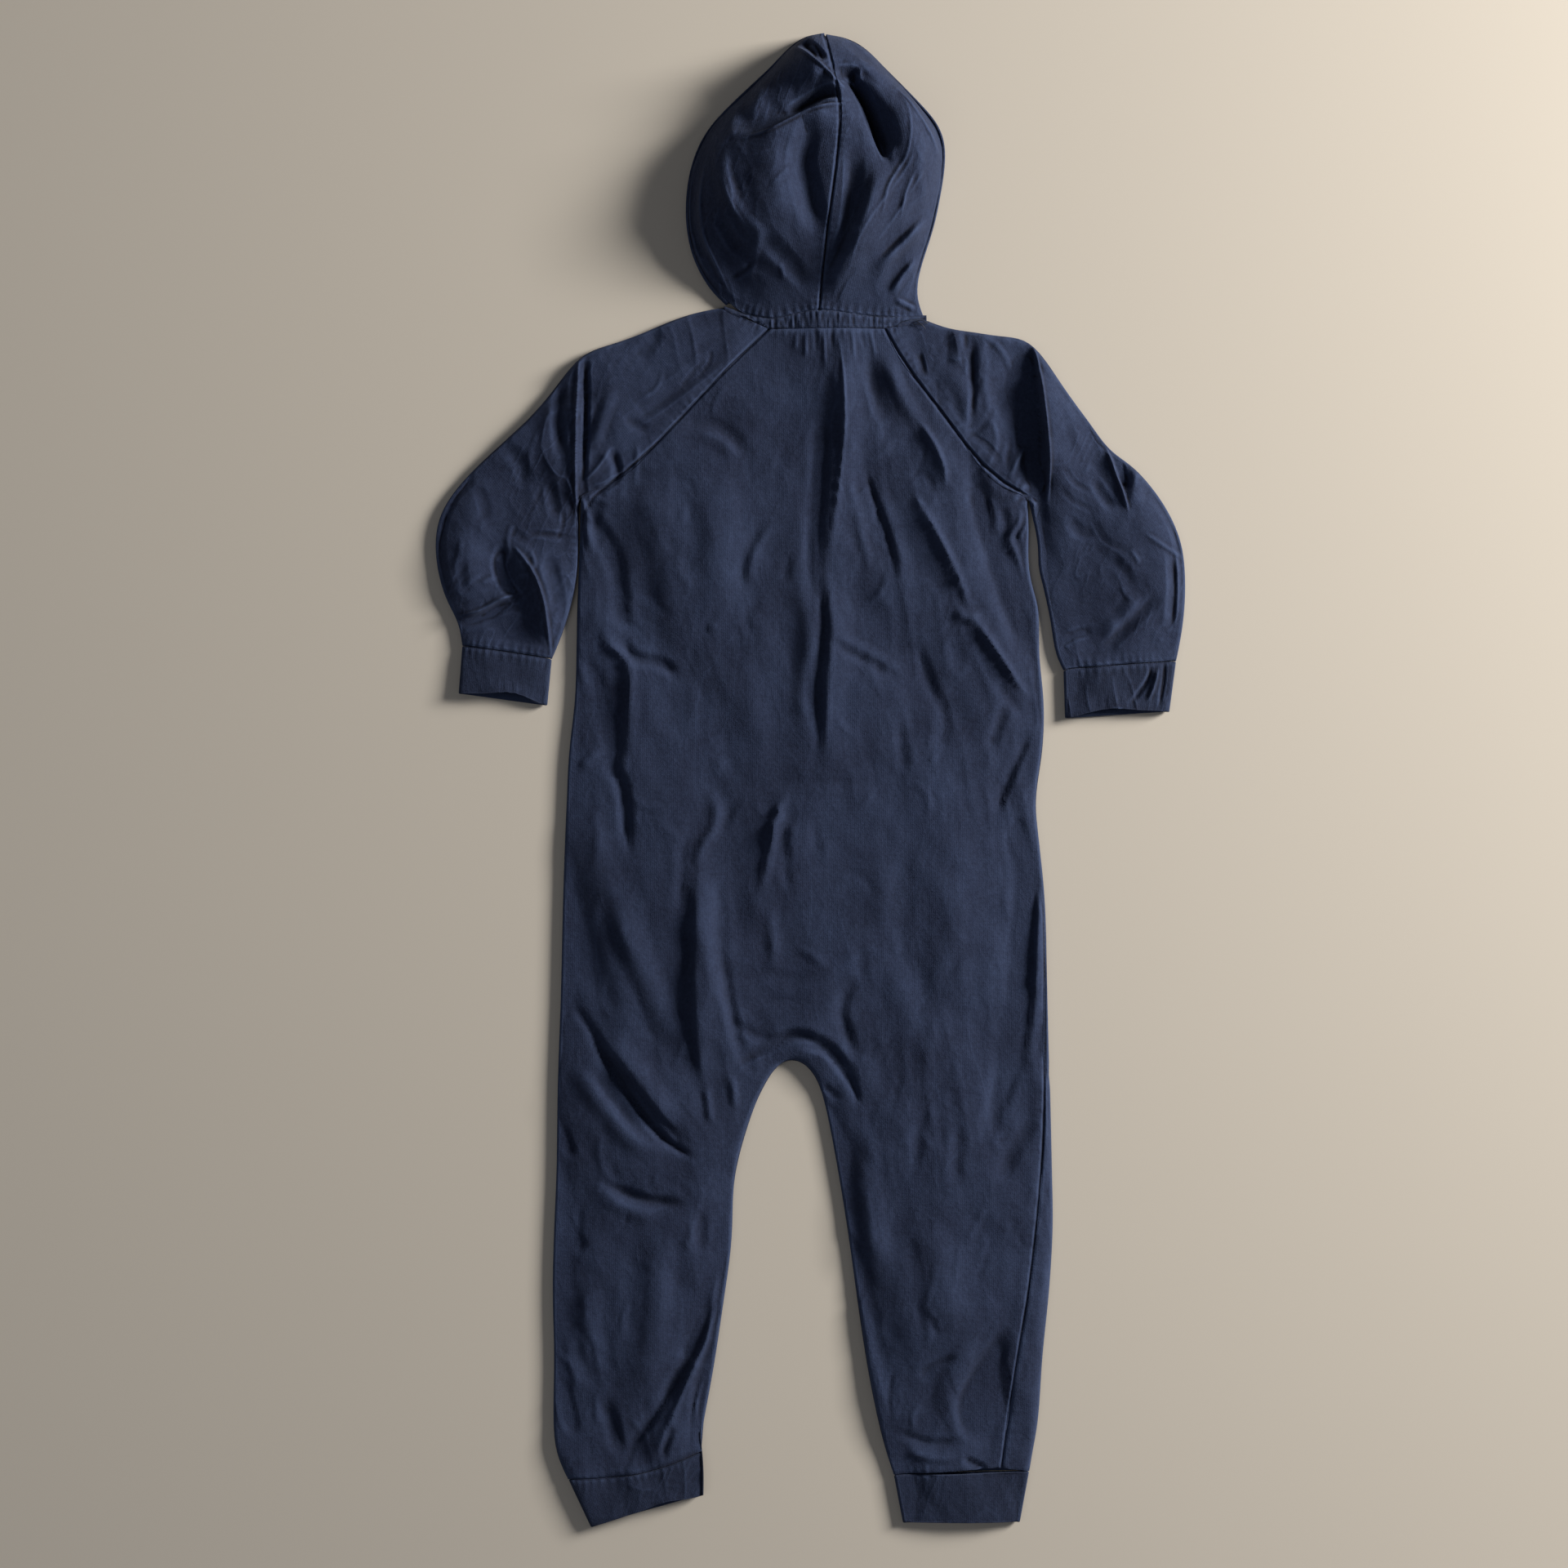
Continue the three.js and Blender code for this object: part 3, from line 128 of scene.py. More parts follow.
def wire(tree, source, output, target, socket):
    tree.links.new(source.outputs[output], target.inputs[socket])


# %% [markdown]
# The floor is a plain pale cloth-coloured plane, just below the lowest cloth, so nothing lies in it.

# %% Floor
FLOOR_DROP = 0.2 * MM
FLOOR_HALF = 4.0  # m
FLOOR_COLOUR = (0.55, 0.50, 0.43, 1.0)
FLOOR_ROUGHNESS = 0.95
floor_material, _, floor_shader = new_material("floor")
floor_shader.inputs["Base Color"].default_value = FLOOR_COLOUR
floor_shader.inputs["Roughness"].default_value = FLOOR_ROUGHNESS
floor_mesh = bpy.data.meshes.new("floor")
floor_corners = [(sx * FLOOR_HALF, sy * FLOOR_HALF, -FLOOR_DROP)
                 for sx, sy in ((-1, -1), (1, -1), (1, 1), (-1, 1))]
floor_mesh.from_pydata(floor_corners, [], [(0, 1, 2, 3)])
floor_mesh.materials.append(floor_material)
floor = bpy.data.objects.new("floor", floor_mesh)
bpy.context.scene.collection.objects.link(floor)
print("floor", 2 * FLOOR_HALF, "m wide")

# %% [markdown]
# Each packed cloth piece is a wall of paired triangles. To make it smooth, its triangles are joined
# back into quads and subdivided, which rounds it, with the wall's rim kept crisp. The layer on top,
# which shows, is divided once or twice more, so that narrow creases have points to bend at.

# %% From packed wall to fine cloth
CLOTH = 2.2  # mm, thickness of the knit
WELD = 0.01 * MM
JOIN_BEND = math.radians(50)  # two triangles that bend less than this can form a quad
JOIN_SKEW = math.radians(70)  # and its corners can be this far from square
RIM_ANGLE = math.radians(62)
RIM_CREASE = 0.8
LEVELS = 2  # rounds of subdivision for a whole piece
UPPER_FROM = 5.0  # mm, the upper layer's outer face lies above this
UPPER_SLOPE = 0.25  # and its normal's height is more than this


def packed_wall(node):
    bm = bmesh.new()
    bm.from_mesh(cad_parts[node].data)
    bmesh.ops.remove_doubles(bm, verts=bm.verts, dist=WELD)
    bmesh.ops.join_triangles(bm, faces=bm.faces, angle_face_threshold=JOIN_BEND,
                             angle_shape_threshold=JOIN_SKEW)
    crease = bm.edges.layers.float.new("crease_edge")
    for edge in bm.edges:
        if edge.is_manifold and edge.calc_face_angle(0) > RIM_ANGLE:
            edge[crease] = RIM_CREASE
    return bm


def subdivided(mesh):
    probe = bpy.data.objects.new("probe", mesh)
    bpy.context.scene.collection.objects.link(probe)
    modifier = probe.modifiers.new("smooth", "SUBSURF")
    modifier.levels = LEVELS
    modifier.render_levels = LEVELS
    graph = bpy.context.evaluated_depsgraph_get()
    made = bpy.data.meshes.new_from_object(probe.evaluated_get(graph))
    bpy.data.objects.remove(probe)
    return made


def divide_upper(mesh):
    bm = bmesh.new()
    bm.from_mesh(mesh)
    upper = [f for f in bm.faces
             if f.normal.z > UPPER_SLOPE and f.calc_center_median().z > UPPER_FROM * MM]
    edges = list({e for f in upper for e in f.edges})
    bmesh.ops.subdivide_edges(bm, edges=edges, cuts=1, use_grid_fill=True, smooth=0.0)
    bm.to_mesh(mesh)
    bm.free()


def fine_cloth(name, node, finer):
    bm = packed_wall(node)
    mesh = bpy.data.meshes.new(name)
    bm.to_mesh(mesh)
    bm.free()
    mesh = subdivided(mesh)
    for _ in range(finer):
        divide_upper(mesh)
    mesh.name = name
    mesh.materials.clear()
    mesh.shade_smooth()
    piece = bpy.data.objects.new(name, mesh)
    bpy.context.scene.collection.objects.link(piece)
    return piece


def points_of(mesh):
    flat = np.zeros(len(mesh.vertices) * 3)
    mesh.vertices.foreach_get("co", flat)
    return flat.reshape(-1, 3) / MM


def normals_of(mesh):
    flat = np.zeros(len(mesh.vertices) * 3)
    mesh.vertex_normals.foreach_get("vector", flat)
    return flat.reshape(-1, 3)


def move_points(mesh, points):
    mesh.vertices.foreach_set("co", (points * MM).ravel())
    mesh.update()


# %% [markdown]
# A fold is a line drawn on the cloth, in millimetres of the garment's own frame, with a
# height (below zero for a trough) and a width on each side. A wide side next to a narrow one makes
# the soft slope and the sudden drop of a real fold. "crest" bends the profile from round (2) towards
# a pinched edge (1). A fold thins out at both ends.

# %% Folds
Fold = namedtuple("Fold", "path rise left right crest", defaults=(2.0,))
PATH_STEPS = 6  # points between two points of a path
FADE = 0.3  # share of a fold's length over which each end thins out
BLUNT = 0.15  # share of that length by which the thinning starts before the end itself
LIP = 0.38  # share of a pinched fold's height that lies in its crisp middle line
LIP_HALF = 1.25  # mm, half width of that line


def smooth_step(low, high, value):
    share = np.clip((value - low) / (high - low), 0, 1)
    return share * share * (3 - 2 * share)


def smooth_path(path):
    """A rounded path that passes through each of the given points."""
    points = np.array(path, float)
    if len(points) < 3:
        return points
    ends = [2 * points[0] - points[1], *points, 2 * points[-1] - points[-2]]
    made = []
    for a, b, c, d in zip(ends, ends[1:], ends[2:], ends[3:]):
        for step in range(PATH_STEPS):
            t = step / PATH_STEPS
            bend = (2 * a - 5 * b + 4 * c - d) * t * t + (3 * b - a - 3 * c + d) * t ** 3
            made.append(0.5 * (2 * b + (c - a) * t + bend))
    return np.array([*made, points[-1]])


def along_line(x, y, line):
    """For each point, its distance from a line (above zero on its left) and how far along that is."""
    far = np.full(len(x), 1e9)
    side = np.ones(len(x))
    run = np.zeros(len(x))
    passed = 0.0
    for (ax, ay), (bx, by) in zip(line, line[1:]):
        dx, dy = bx - ax, by - ay
        length = math.hypot(dx, dy) or 1e-9
        share = np.clip(((x - ax) * dx + (y - ay) * dy) / length ** 2, 0, 1)
        gap = np.hypot(x - ax - dx * share, y - ay - dy * share)
        nearer = gap < far
        far = np.where(nearer, gap, far)
        side = np.where(nearer, np.sign(dx * (y - ay) - dy * (x - ax)), side)
        run = np.where(nearer, passed + share * length, run)
        passed += length
    return far * side, run, passed


def fold_height(x, y, fold):
    line = smooth_path(fold.path)
    reach = max(fold.left, fold.right)
    low, high = line.min(0) - reach, line.max(0) + reach
    near = (x > low[0]) & (x < high[0]) & (y > low[1]) & (y < high[1])
    height = np.zeros(len(x))
    if not near.any():
        return height
    gap, run, total = along_line(x[near], y[near], line)
    across = np.abs(gap) / np.where(gap > 0, fold.left, fold.right)
    broad = np.clip(1 - across ** fold.crest, 0, 1) ** 2
    lip = LIP if fold.crest < 2 else 0
    profile = (1 - lip) * broad + lip * np.exp(-((gap / LIP_HALF) ** 2))
    fade = FADE * total
    ends = smooth_step(-BLUNT * fade, fade, run) * smooth_step(-BLUNT * fade, fade, total - run)
    height[near] = fold.rise * profile * ends
    return height


# How the pleats of a fan differ, all as shares but the turn, which is in radians.
FAN = dict(jitter=0.25, reach=(0.6, 1.1), clear=0.15, turn=0.12, rise=(0.6, 1.2), narrow=0.7)


def fan(centre, first, last, count, length, rise, width, seed):
    """Short pleats that spread from a point, between two directions in degrees."""
    draw = np.random.default_rng(seed)
    made = []
    for k in range(count):
        place = k + 0.5 + draw.uniform(-FAN["jitter"], FAN["jitter"])
        angle = math.radians(first + (last - first) * place / count)
        turned = angle + FAN["turn"]
        reach = length * draw.uniform(*FAN["reach"])
        start = np.array(centre) + FAN["clear"] * reach * np.array([math.cos(angle), math.sin(angle)])
        end = np.array(centre) + reach * np.array([math.cos(turned), math.sin(turned)])
        height = rise * draw.uniform(*FAN["rise"])
        made.append(Fold([tuple(start), tuple(end)], height, width, width * FAN["narrow"]))
    return made


# %% [markdown]
# The largest creases of the back, from the neck to the hips. The zip underneath pushes up the long
# ridge in the middle, with a dark valley along its left side. Two folds run down from the armpits.

# %% Folds of the trunk
TRUNK_FOLDS = [
    Fold([(19, 298), (22, 272), (23, 247), (22, 223), (17, 180), (11, 142)], 1.9, 16, 13, 1.4),
    Fold([(9, 250), (6, 195), (3, 160), (3, 112)], -1.8, 7, 9),
    Fold([(3, 172), (5, 140), (8, 118), (9, 99), (5, 60), (6, 27), (1, 4)], -1.3, 3.5, 4.5),
    Fold([(-4, 128), (0, 96), (-5, 62), (-3, 30)], 0.7, 5, 9),
    Fold([(11, 142), (14, 118), (15, 98), (12, 60), (11, 20)], 1.2, 15, 8, 1.5),
    Fold([(70, 191), (84, 167), (98, 139), (107, 113)], 1.8, 5, 9, 1.3),
    Fold([(107, 113), (112, 105), (126, 85), (140, 64), (148, 54)], 2.0, 5, 8, 1.3),
    Fold([(98, 116), (105, 108), (114, 112)], 1.0, 5, 5),
    Fold([(108, 219), (112, 186), (121, 153), (131, 123), (146, 68)], -2.0, 13, 8),
    Fold([(72, 242), (84, 223), (90, 207), (90, 196)], 1.6, 5, 10, 1.5),
    Fold([(35, 214), (44, 186), (55, 153), (58, 130)], -0.7, 3, 4.5, 1.5),
    Fold([(40, 210), (49, 184), (60, 152), (63, 128)], 0.6, 9, 4),
    Fold([(25, 207), (34, 167), (41, 139)], 0.7, 5, 5),
    Fold([(35, 283), (44, 258), (49, 238)], -0.7, 8, 6),
    Fold([(50, 285), (60, 260), (74, 236)], 0.9, 8, 8),
    Fold([(-86, 240), (-66, 239), (-52, 230), (-41, 218)], -0.6, 7, 6),
    Fold([(-80, 231), (-66, 230), (-55, 223), (-48, 212)], 0.7, 5, 9),
    Fold([(-30, 176), (-42, 156), (-48, 128)], -0.7, 6, 6),
    Fold([(-25, 172), (-37, 153), (-42, 128)], 0.5, 5, 4),
    Fold([(-14, 153), (-17, 132)], -0.6, 4, 4),
    Fold([(-34, 122), (-43, 107), (-34, 94)], -0.5, 5, 5),
    Fold([(-157, 184), (-142, 167), (-130, 139), (-127, 95)], -1.8, 9, 8),
    Fold([(-127, 97), (-120, 83), (-100, 78), (-88, 68)], -1.8, 6, 5),
    Fold([(-141, 106), (-135, 91), (-124, 82), (-121, 65), (-121, 25)], 1.4, 7, 6, 1.5),
    Fold([(-152, 84), (-141, 60), (-135, 25), (-128, -5)], -1.8, 6, 7),
    Fold([(-110, 205), (-97, 160), (-90, 110)], 1.4, 22, 18),
    Fold([(-60, 205), (-64, 150), (-66, 100)], 0.9, 20, 20),
    Fold([(12, 95), (25, 86), (44, 76), (56, 69)], -0.7, 3, 4),
    Fold([(14, 101), (27, 92), (46, 82), (58, 74)], 0.6, 5, 4),
    Fold([(71, 90), (79, 70), (86, 50)], -0.7, 5, 6),
    Fold([(124, 66), (134, 54), (144, 42)], -0.7, 5, 5),
    Fold([(86, 60), (90, 38), (86, 14)], -0.6, 6, 6),
    Fold([(-160, 196), (-150, 176), (-147, 150)], 1.0, 5, 5),
]
print(len(TRUNK_FOLDS), "folds on the trunk")

# %% [markdown]
# Where the stretched neck tape lets go, it gathers the back just below it into short faint pleats.

# %% Gathers below the neck
GATHER_TOP = 302  # mm, height of the neck seam on the back
GATHER_HALF = 2.4
GATHERS = [  # place, lean and length in mm, and rise
    (-9, -1, 14, 0.3), (-3, 0, 20, 0.35), (4, 0, 17, -0.3), (9, 1, 26, 0.4),
    (14, 1, 15, -0.3), (28, 2, 22, 0.35), (34, 3, 14, -0.3), (40, 4, 20, 0.3),
]
NECK_GATHERS = [Fold([(x, GATHER_TOP), (x + lean, GATHER_TOP - long)], rise, GATHER_HALF, GATHER_HALF)
                for x, lean, long, rise in GATHERS]
print(len(NECK_GATHERS), "gathers")

# %% [markdown]
# Over the seat the cloth lies in one flat-topped pleat, a second small ridge, and a soft arch above
# the fork, where the crotch seam pulls. Its sides sag into long troughs.

# %% Folds of the seat
SEAT_FOLDS = [
    Fold([(-68, -5), (-63, -20), (-65, -33), (-73, -47), (-76, -62)], 1.3, 6, 6),
    Fold([(-74, -48), (-77, -108), (-77, -142), (-75, -177), (-70, -206)], 2.0, 18, 5),
    Fold([(-70, -60), (-66, -108), (-61, -142), (-56, -168), (-49, -198)], 1.2, 5, 15),
    Fold([(-61, -112), (-56, -142), (-51, -168), (-45, -192)], -1.3, 6, 4),
    Fold([(-16, -7), (-22, -23), (-26, -39), (-29, -58), (-32, -74)], 2.0, 4, 5, 1.5),
    Fold([(-27, -80), (-26, -104), (-24, -130)], 0.5, 6, 5),
    Fold([(-11, -20), (-18, -42), (-13, -78)], -1.0, 5, 5),
    Fold([(-50, -14), (-57, -26), (-62, -38)], -0.7, 5, 5),
    Fold([(-81, -34), (-85, -52), (-86, -90)], -0.9, 4, 6),
    Fold([(3, -30), (4, -50)], -0.5, 4, 4),
    Fold([(59, 40), (61, 22), (64, 2)], -0.7, 5, 6),
    Fold([(-68, -5), (-20, -3), (24, -2), (58, -5)], -0.2, 6, 4),
    Fold([(-130, 52), (-128, 10)], -1.2, 6, 6),
    Fold([(-141, 18), (-126, -5), (-122, -53)], -1.5, 5, 6),
    Fold([(-155, 8), (-141, 20)], 0.6, 5, 5),
    Fold([(131, 52), (118, 18)], -1.3, 7, 5),
    Fold([(147, 30), (136, 6), (125, -22)], -1.9, 4, 7, 1.5),
    Fold([(138, -24), (141, -51), (150, -76)], -1.8, 7, 10),
    Fold([(149, -56), (145, -119), (143, -154), (134, -197), (126, -232)], -2.6, 7, 16),
    Fold([(154, -60), (152, -110), (150, -154), (144, -204)], 1.3, 8, 5),
    Fold([(-57, -195), (-41, -186), (-22, -176), (-8, -172), (8, -178), (23, -193), (32, -210)], -2.0, 7, 4),
    Fold([(29, -132), (22, -154), (26, -172), (32, -190)], -1.2, 5, 7),
    Fold([(33, -108), (35, -136)], -0.5, 6, 6),
    Fold([(-52, -135), (-30, -129), (-8, -133), (19, -126)], -0.4, 5, 9),
    Fold([(-44, -150), (-22, -147), (-2, -150)], -0.25, 3, 5),
    Fold([(-54, -161), (-38, -171), (-22, -176)], -0.6, 6, 5),
    Fold([(-162, -147), (-148, -167), (-137, -186), (-125, -205)], -1.8, 5, 4, 1.5),
    Fold([(-160, -58), (-153, -108), (-131, -170)], -0.8, 14, 12),
    Fold([(-130, -66), (-125, -97), (-107, -142), (-91, -178)], 1.4, 15, 12),
    Fold([(90, -20), (96, -80), (88, -150)], 0.8, 24, 20),
    Fold([(66, -40), (60, -90), (66, -130)], -0.6, 12, 12),
]
print(len(SEAT_FOLDS), "folds on the seat")

# %% [markdown]
# The legs twist a little as they lie. The strongest crease of the left leg runs across the knee, and a
# long ridge runs from the inseam down to the cuff. The right leg sags beside its side seam.

# %% Folds of the legs
LEG_FOLDS = [
    Fold([(-148, -172), (-130, -199), (-111, -226), (-97, -242), (-77, -254)], -3.0, 5, 4, 1.6),
    Fold([(-158, -190), (-140, -214), (-120, -238), (-98, -252)], 1.2, 6, 12),
    Fold([(-138, -172), (-120, -196), (-102, -219), (-86, -236)], 1.4, 14, 5),
    Fold([(-70, -204), (-66, -232)], 0.8, 4, 4),
    Fold([(-52, -197), (-50, -222)], 0.8, 4, 4),
    Fold([(-144, -268), (-123, -278), (-104, -283), (-82, -285)], -1.4, 6, 4),
    Fold([(-140, -276), (-120, -287), (-100, -292)], 0.8, 5, 10),
    Fold([(-168, -233), (-159, -252)], -1.4, 5, 5),
    Fold([(-168, -294), (-152, -317)], -1.6, 7, 6),
    Fold([(-116, -294), (-119, -335), (-121, -375), (-117, -412)], -0.6, 12, 10),
    Fold([(-98, -300), (-101, -345), (-106, -385)], 0.8, 12, 12),
    Fold([(-56, -318), (-61, -350), (-65, -376), (-74, -400), (-79, -422), (-81, -448)], -1.5, 1.6, 1.4, 1.4),
    Fold([(-61, -325), (-66, -352), (-70, -378), (-79, -400), (-84, -424)], 0.7, 2.6, 6, 1.5),
    Fold([(-73, -288), (-74, -318)], -1.0, 6, 6),
    Fold([(-63, -345), (-80, -384), (-92, -407), (-104, -427), (-118, -446), (-125, -466)], -2.0, 4, 8, 1.6),
    Fold([(-62, -352), (-70, -375), (-82, -402), (-93, -428), (-103, -450)], 1.4, 7, 5, 1.5),
    Fold([(-92, -432), (-100, -455)], -1.2, 4, 4),
    Fold([(-140, -412), (-132, -436), (-126, -456)], -1.2, 7, 7),
    Fold([(-167, -402), (-158, -440)], -1.2, 6, 6),
    Fold([(-150, -330), (-148, -372), (-144, -400)], 0.9, 12, 10),
    Fold([(-10, -177), (9, -182), (21, -195), (30, -209), (33, -222)], -1.8, 5, 4, 1.6),
    Fold([(8, -204), (20, -215)], -0.6, 4, 4),
    Fold([(34, -232), (37, -270), (43, -307), (50, -345)], 0.8, 14, 9),
    Fold([(24, -250), (31, -307), (45, -376), (56, -424)], -0.5, 7, 6),
    Fold([(128, -197), (119, -241)], -1.2, 8, 8),
    Fold([(99, -230), (97, -274)], -0.9, 7, 7),
    Fold([(150, -225), (136, -248), (126, -270)], -1.0, 9, 7),
    Fold([(74, -224), (70, -262)], -0.7, 6, 6),
    Fold([(132, -364), (119, -390), (105, -412), (104, -432), (116, -444)], -1.7, 12, 7),
    Fold([(112, -372), (98, -396), (92, -418), (94, -434)], 0.8, 10, 12),
    Fold([(124, -405), (120, -428)], -1.2, 8, 8),
    Fold([(99, -386), (86, -391), (71, -400)], -0.8, 4, 4),
    Fold([(56, -436), (80, -445), (104, -443)], -0.9, 4, 5),
    Fold([(62, -450), (84, -455), (100, -453)], 0.7, 4, 4),
    Fold([(102, -455), (112, -460), (119, -463)], -1.2, 4, 3),
    Fold([(80, -290), (84, -330), (92, -372)], 0.8, 18, 16),
]
print(len(LEG_FOLDS), "folds on the legs")

# %% [markdown]
# Both sleeves are turned in at the shoulder, so a crisp folded edge runs down each of them, and the
# elbows buckle. A deep shadow lies inside the right shoulder fold, with small pleats at the armpit.

# %% Folds of the sleeves
LEFT_SLEEVE_FOLDS = [
    Fold([(-155, 290), (-156, 260), (-157, 224), (-157, 194), (-157, 172)], 2.4, 2.2, 11, 1.3),
    Fold([(-151, 286), (-151, 250), (-152, 214), (-152, 196)], -2.2, 4, 2.6),
    Fold([(-168, 269), (-169, 242), (-167, 216)], -1.6, 6, 6),
    Fold([(-175, 202), (-170, 174)], -1.1, 6, 6),
    Fold([(-237, 104), (-223, 108), (-210, 115), (-197, 121)], -1.9, 2.5, 6, 1.3),
    Fold([(-238, 109), (-223, 113), (-210, 120), (-196, 126)], 2.3, 9, 3, 1.3),
    Fold([(-200, 158), (-192, 149), (-186, 140), (-181, 129), (-177, 113), (-174, 84)], 2.3, 2.5, 12, 1.4),
    Fold([(-178, 152), (-174, 138), (-171, 122), (-171, 106)], -1.5, 8, 6),
    Fold([(-205, 157), (-208, 144), (-203, 131), (-194, 121)], -2.6, 4, 7),
    Fold([(-195, 152), (-192, 131)], 0.6, 6, 6),
    Fold([(-190, 166), (-176, 165), (-160, 163)], -0.4, 3, 4),
    Fold([(-202, 168), (-190, 160)], -0.5, 5, 5),
    Fold([(-225, 200), (-219, 186), (-217, 170)], -0.5, 6, 6),
    Fold([(-234, 148), (-231, 124)], -0.4, 5, 5),
    Fold([(-208, 226), (-196, 214), (-190, 196)], -0.7, 8, 7),
    Fold([(-55, 287), (-80, 268), (-106, 249), (-124, 238)], -1.1, 6, 10),
    Fold([(-124, 244), (-117, 238), (-108, 234)], -0.6, 5, 5),
    Fold([(-133, 222), (-129, 209), (-130, 199)], -1.2, 4, 5),
    Fold([(-127, 204), (-138, 196), (-149, 194)], -0.8, 4, 4),
    Fold([(-133, 224), (-142, 210), (-152, 200)], 1.0, 6, 6, 1.6),
    Fold([(-100, 304), (-107, 292), (-118, 280)], -0.6, 7, 8),
    Fold([(-132, 262), (-140, 240), (-146, 222)], 0.9, 7, 7),
]
RIGHT_SLEEVE_FOLDS = [
    Fold([(148, 297), (152, 282), (156, 256), (159, 228), (160, 203), (159, 186)], 5.2, 22, 5, 1.3),
    Fold([(147, 290), (149, 262), (151, 232), (151, 204), (150, 190)], -3.2, 5, 15),
    Fold([(136, 292), (137, 262), (139, 232), (140, 206)], -2.5, 12, 20),
    Fold([(156, 228), (147, 226), (140, 216), (133, 202)], 1.3, 4, 6, 1.6),
    Fold([(148, 200), (140, 193), (135, 184)], 0.7, 4, 4),
    Fold([(103, 305), (107, 291), (109, 274), (110, 256), (108, 226)], -1.1, 11, 5),
    Fold([(99, 303), (99, 290), (97, 276)], 0.9, 6, 7),
    Fold([(112, 300), (113, 270), (112, 236)], 0.9, 10, 4),
    Fold([(117, 288), (124, 262), (129, 238)], -0.5, 9, 8),
    Fold([(73, 288), (77, 270)], -0.7, 3, 5),
    Fold([(80, 268), (84, 259), (91, 250)], -0.4, 6, 6),
    Fold([(84, 276), (96, 270), (106, 254), (108, 236)], 0.6, 9, 8),
    Fold([(198, 226), (204, 208), (209, 194), (213, 180)], 2.4, 2.2, 12, 1.3),
    Fold([(204, 222), (208, 208), (212, 194)], -2.0, 5, 3),
    Fold([(216, 216), (219, 203), (217, 193), (213, 182)], 1.1, 10, 6),
    Fold([(195, 87), (213, 104), (232, 124)], -1.2, 4, 7),
    Fold([(164, 90), (176, 97), (190, 101)], -0.7, 5, 5),
    Fold([(196, 96), (210, 110), (222, 124)], 0.9, 8, 4),
    Fold([(243, 156), (244, 126), (242, 100)], -1.4, 3, 6),
    Fold([(238, 81), (237, 66), (234, 48)], -0.9, 2.5, 2, 1.4),
    Fold([(229, 76), (226, 66), (220, 58), (215, 50)], -1.5, 4, 2.5, 1.4),
    Fold([(234, 76), (231, 64), (226, 52)], 1.0, 3, 3, 1.4),
    Fold([(200, 150), (210, 141), (216, 128)], -0.6, 6, 6),
    Fold([(172, 176), (182, 166), (190, 170)], -0.6, 6, 6),
    Fold([(172, 262), (180, 240), (184, 214)], 0.7, 9, 9),
    Fold([(190, 203), (196, 190), (204, 182)], -0.7, 5, 5),
]
ARMPIT_FOLDS = [
    Fold([(146, 185), (145, 175), (139, 164), (144, 151), (148, 137)], -1.5, 2.2, 1.8, 1.4),
    Fold([(141, 184), (140, 172), (134, 163), (139, 150), (143, 138)], 1.1, 3, 3.5, 1.4),
    Fold([(147, 174), (143, 169), (138, 158)], 0.6, 3.5, 3.5),
    Fold([(128, 184), (131, 173), (129, 160)], -1.2, 5, 4),
    Fold([(120, 192), (124, 176), (122, 160)], 0.8, 5, 6, 1.5),
    Fold([(134, 155), (131, 147), (136, 140)], -1.0, 3, 3, 1.5),
    *fan((152, 190), 195, 262, 5, 19, 0.4, 3.8, seed=3),
    *fan((-155, 192), 275, 340, 4, 22, 0.5, 4.0, seed=5),
]
SLEEVE_FOLDS = [*LEFT_SLEEVE_FOLDS, *RIGHT_SLEEVE_FOLDS, *ARMPIT_FOLDS]
print(len(SLEEVE_FOLDS), "folds on the sleeves")

# %% [markdown]
# The hood is a bag of cloth that has fallen in on itself. Its crown tips over to the left in a lobe
# with a crisp lower edge. Beside it a deep valley runs down the right of the seam, and the cloth is
# tucked under itself above the middle.

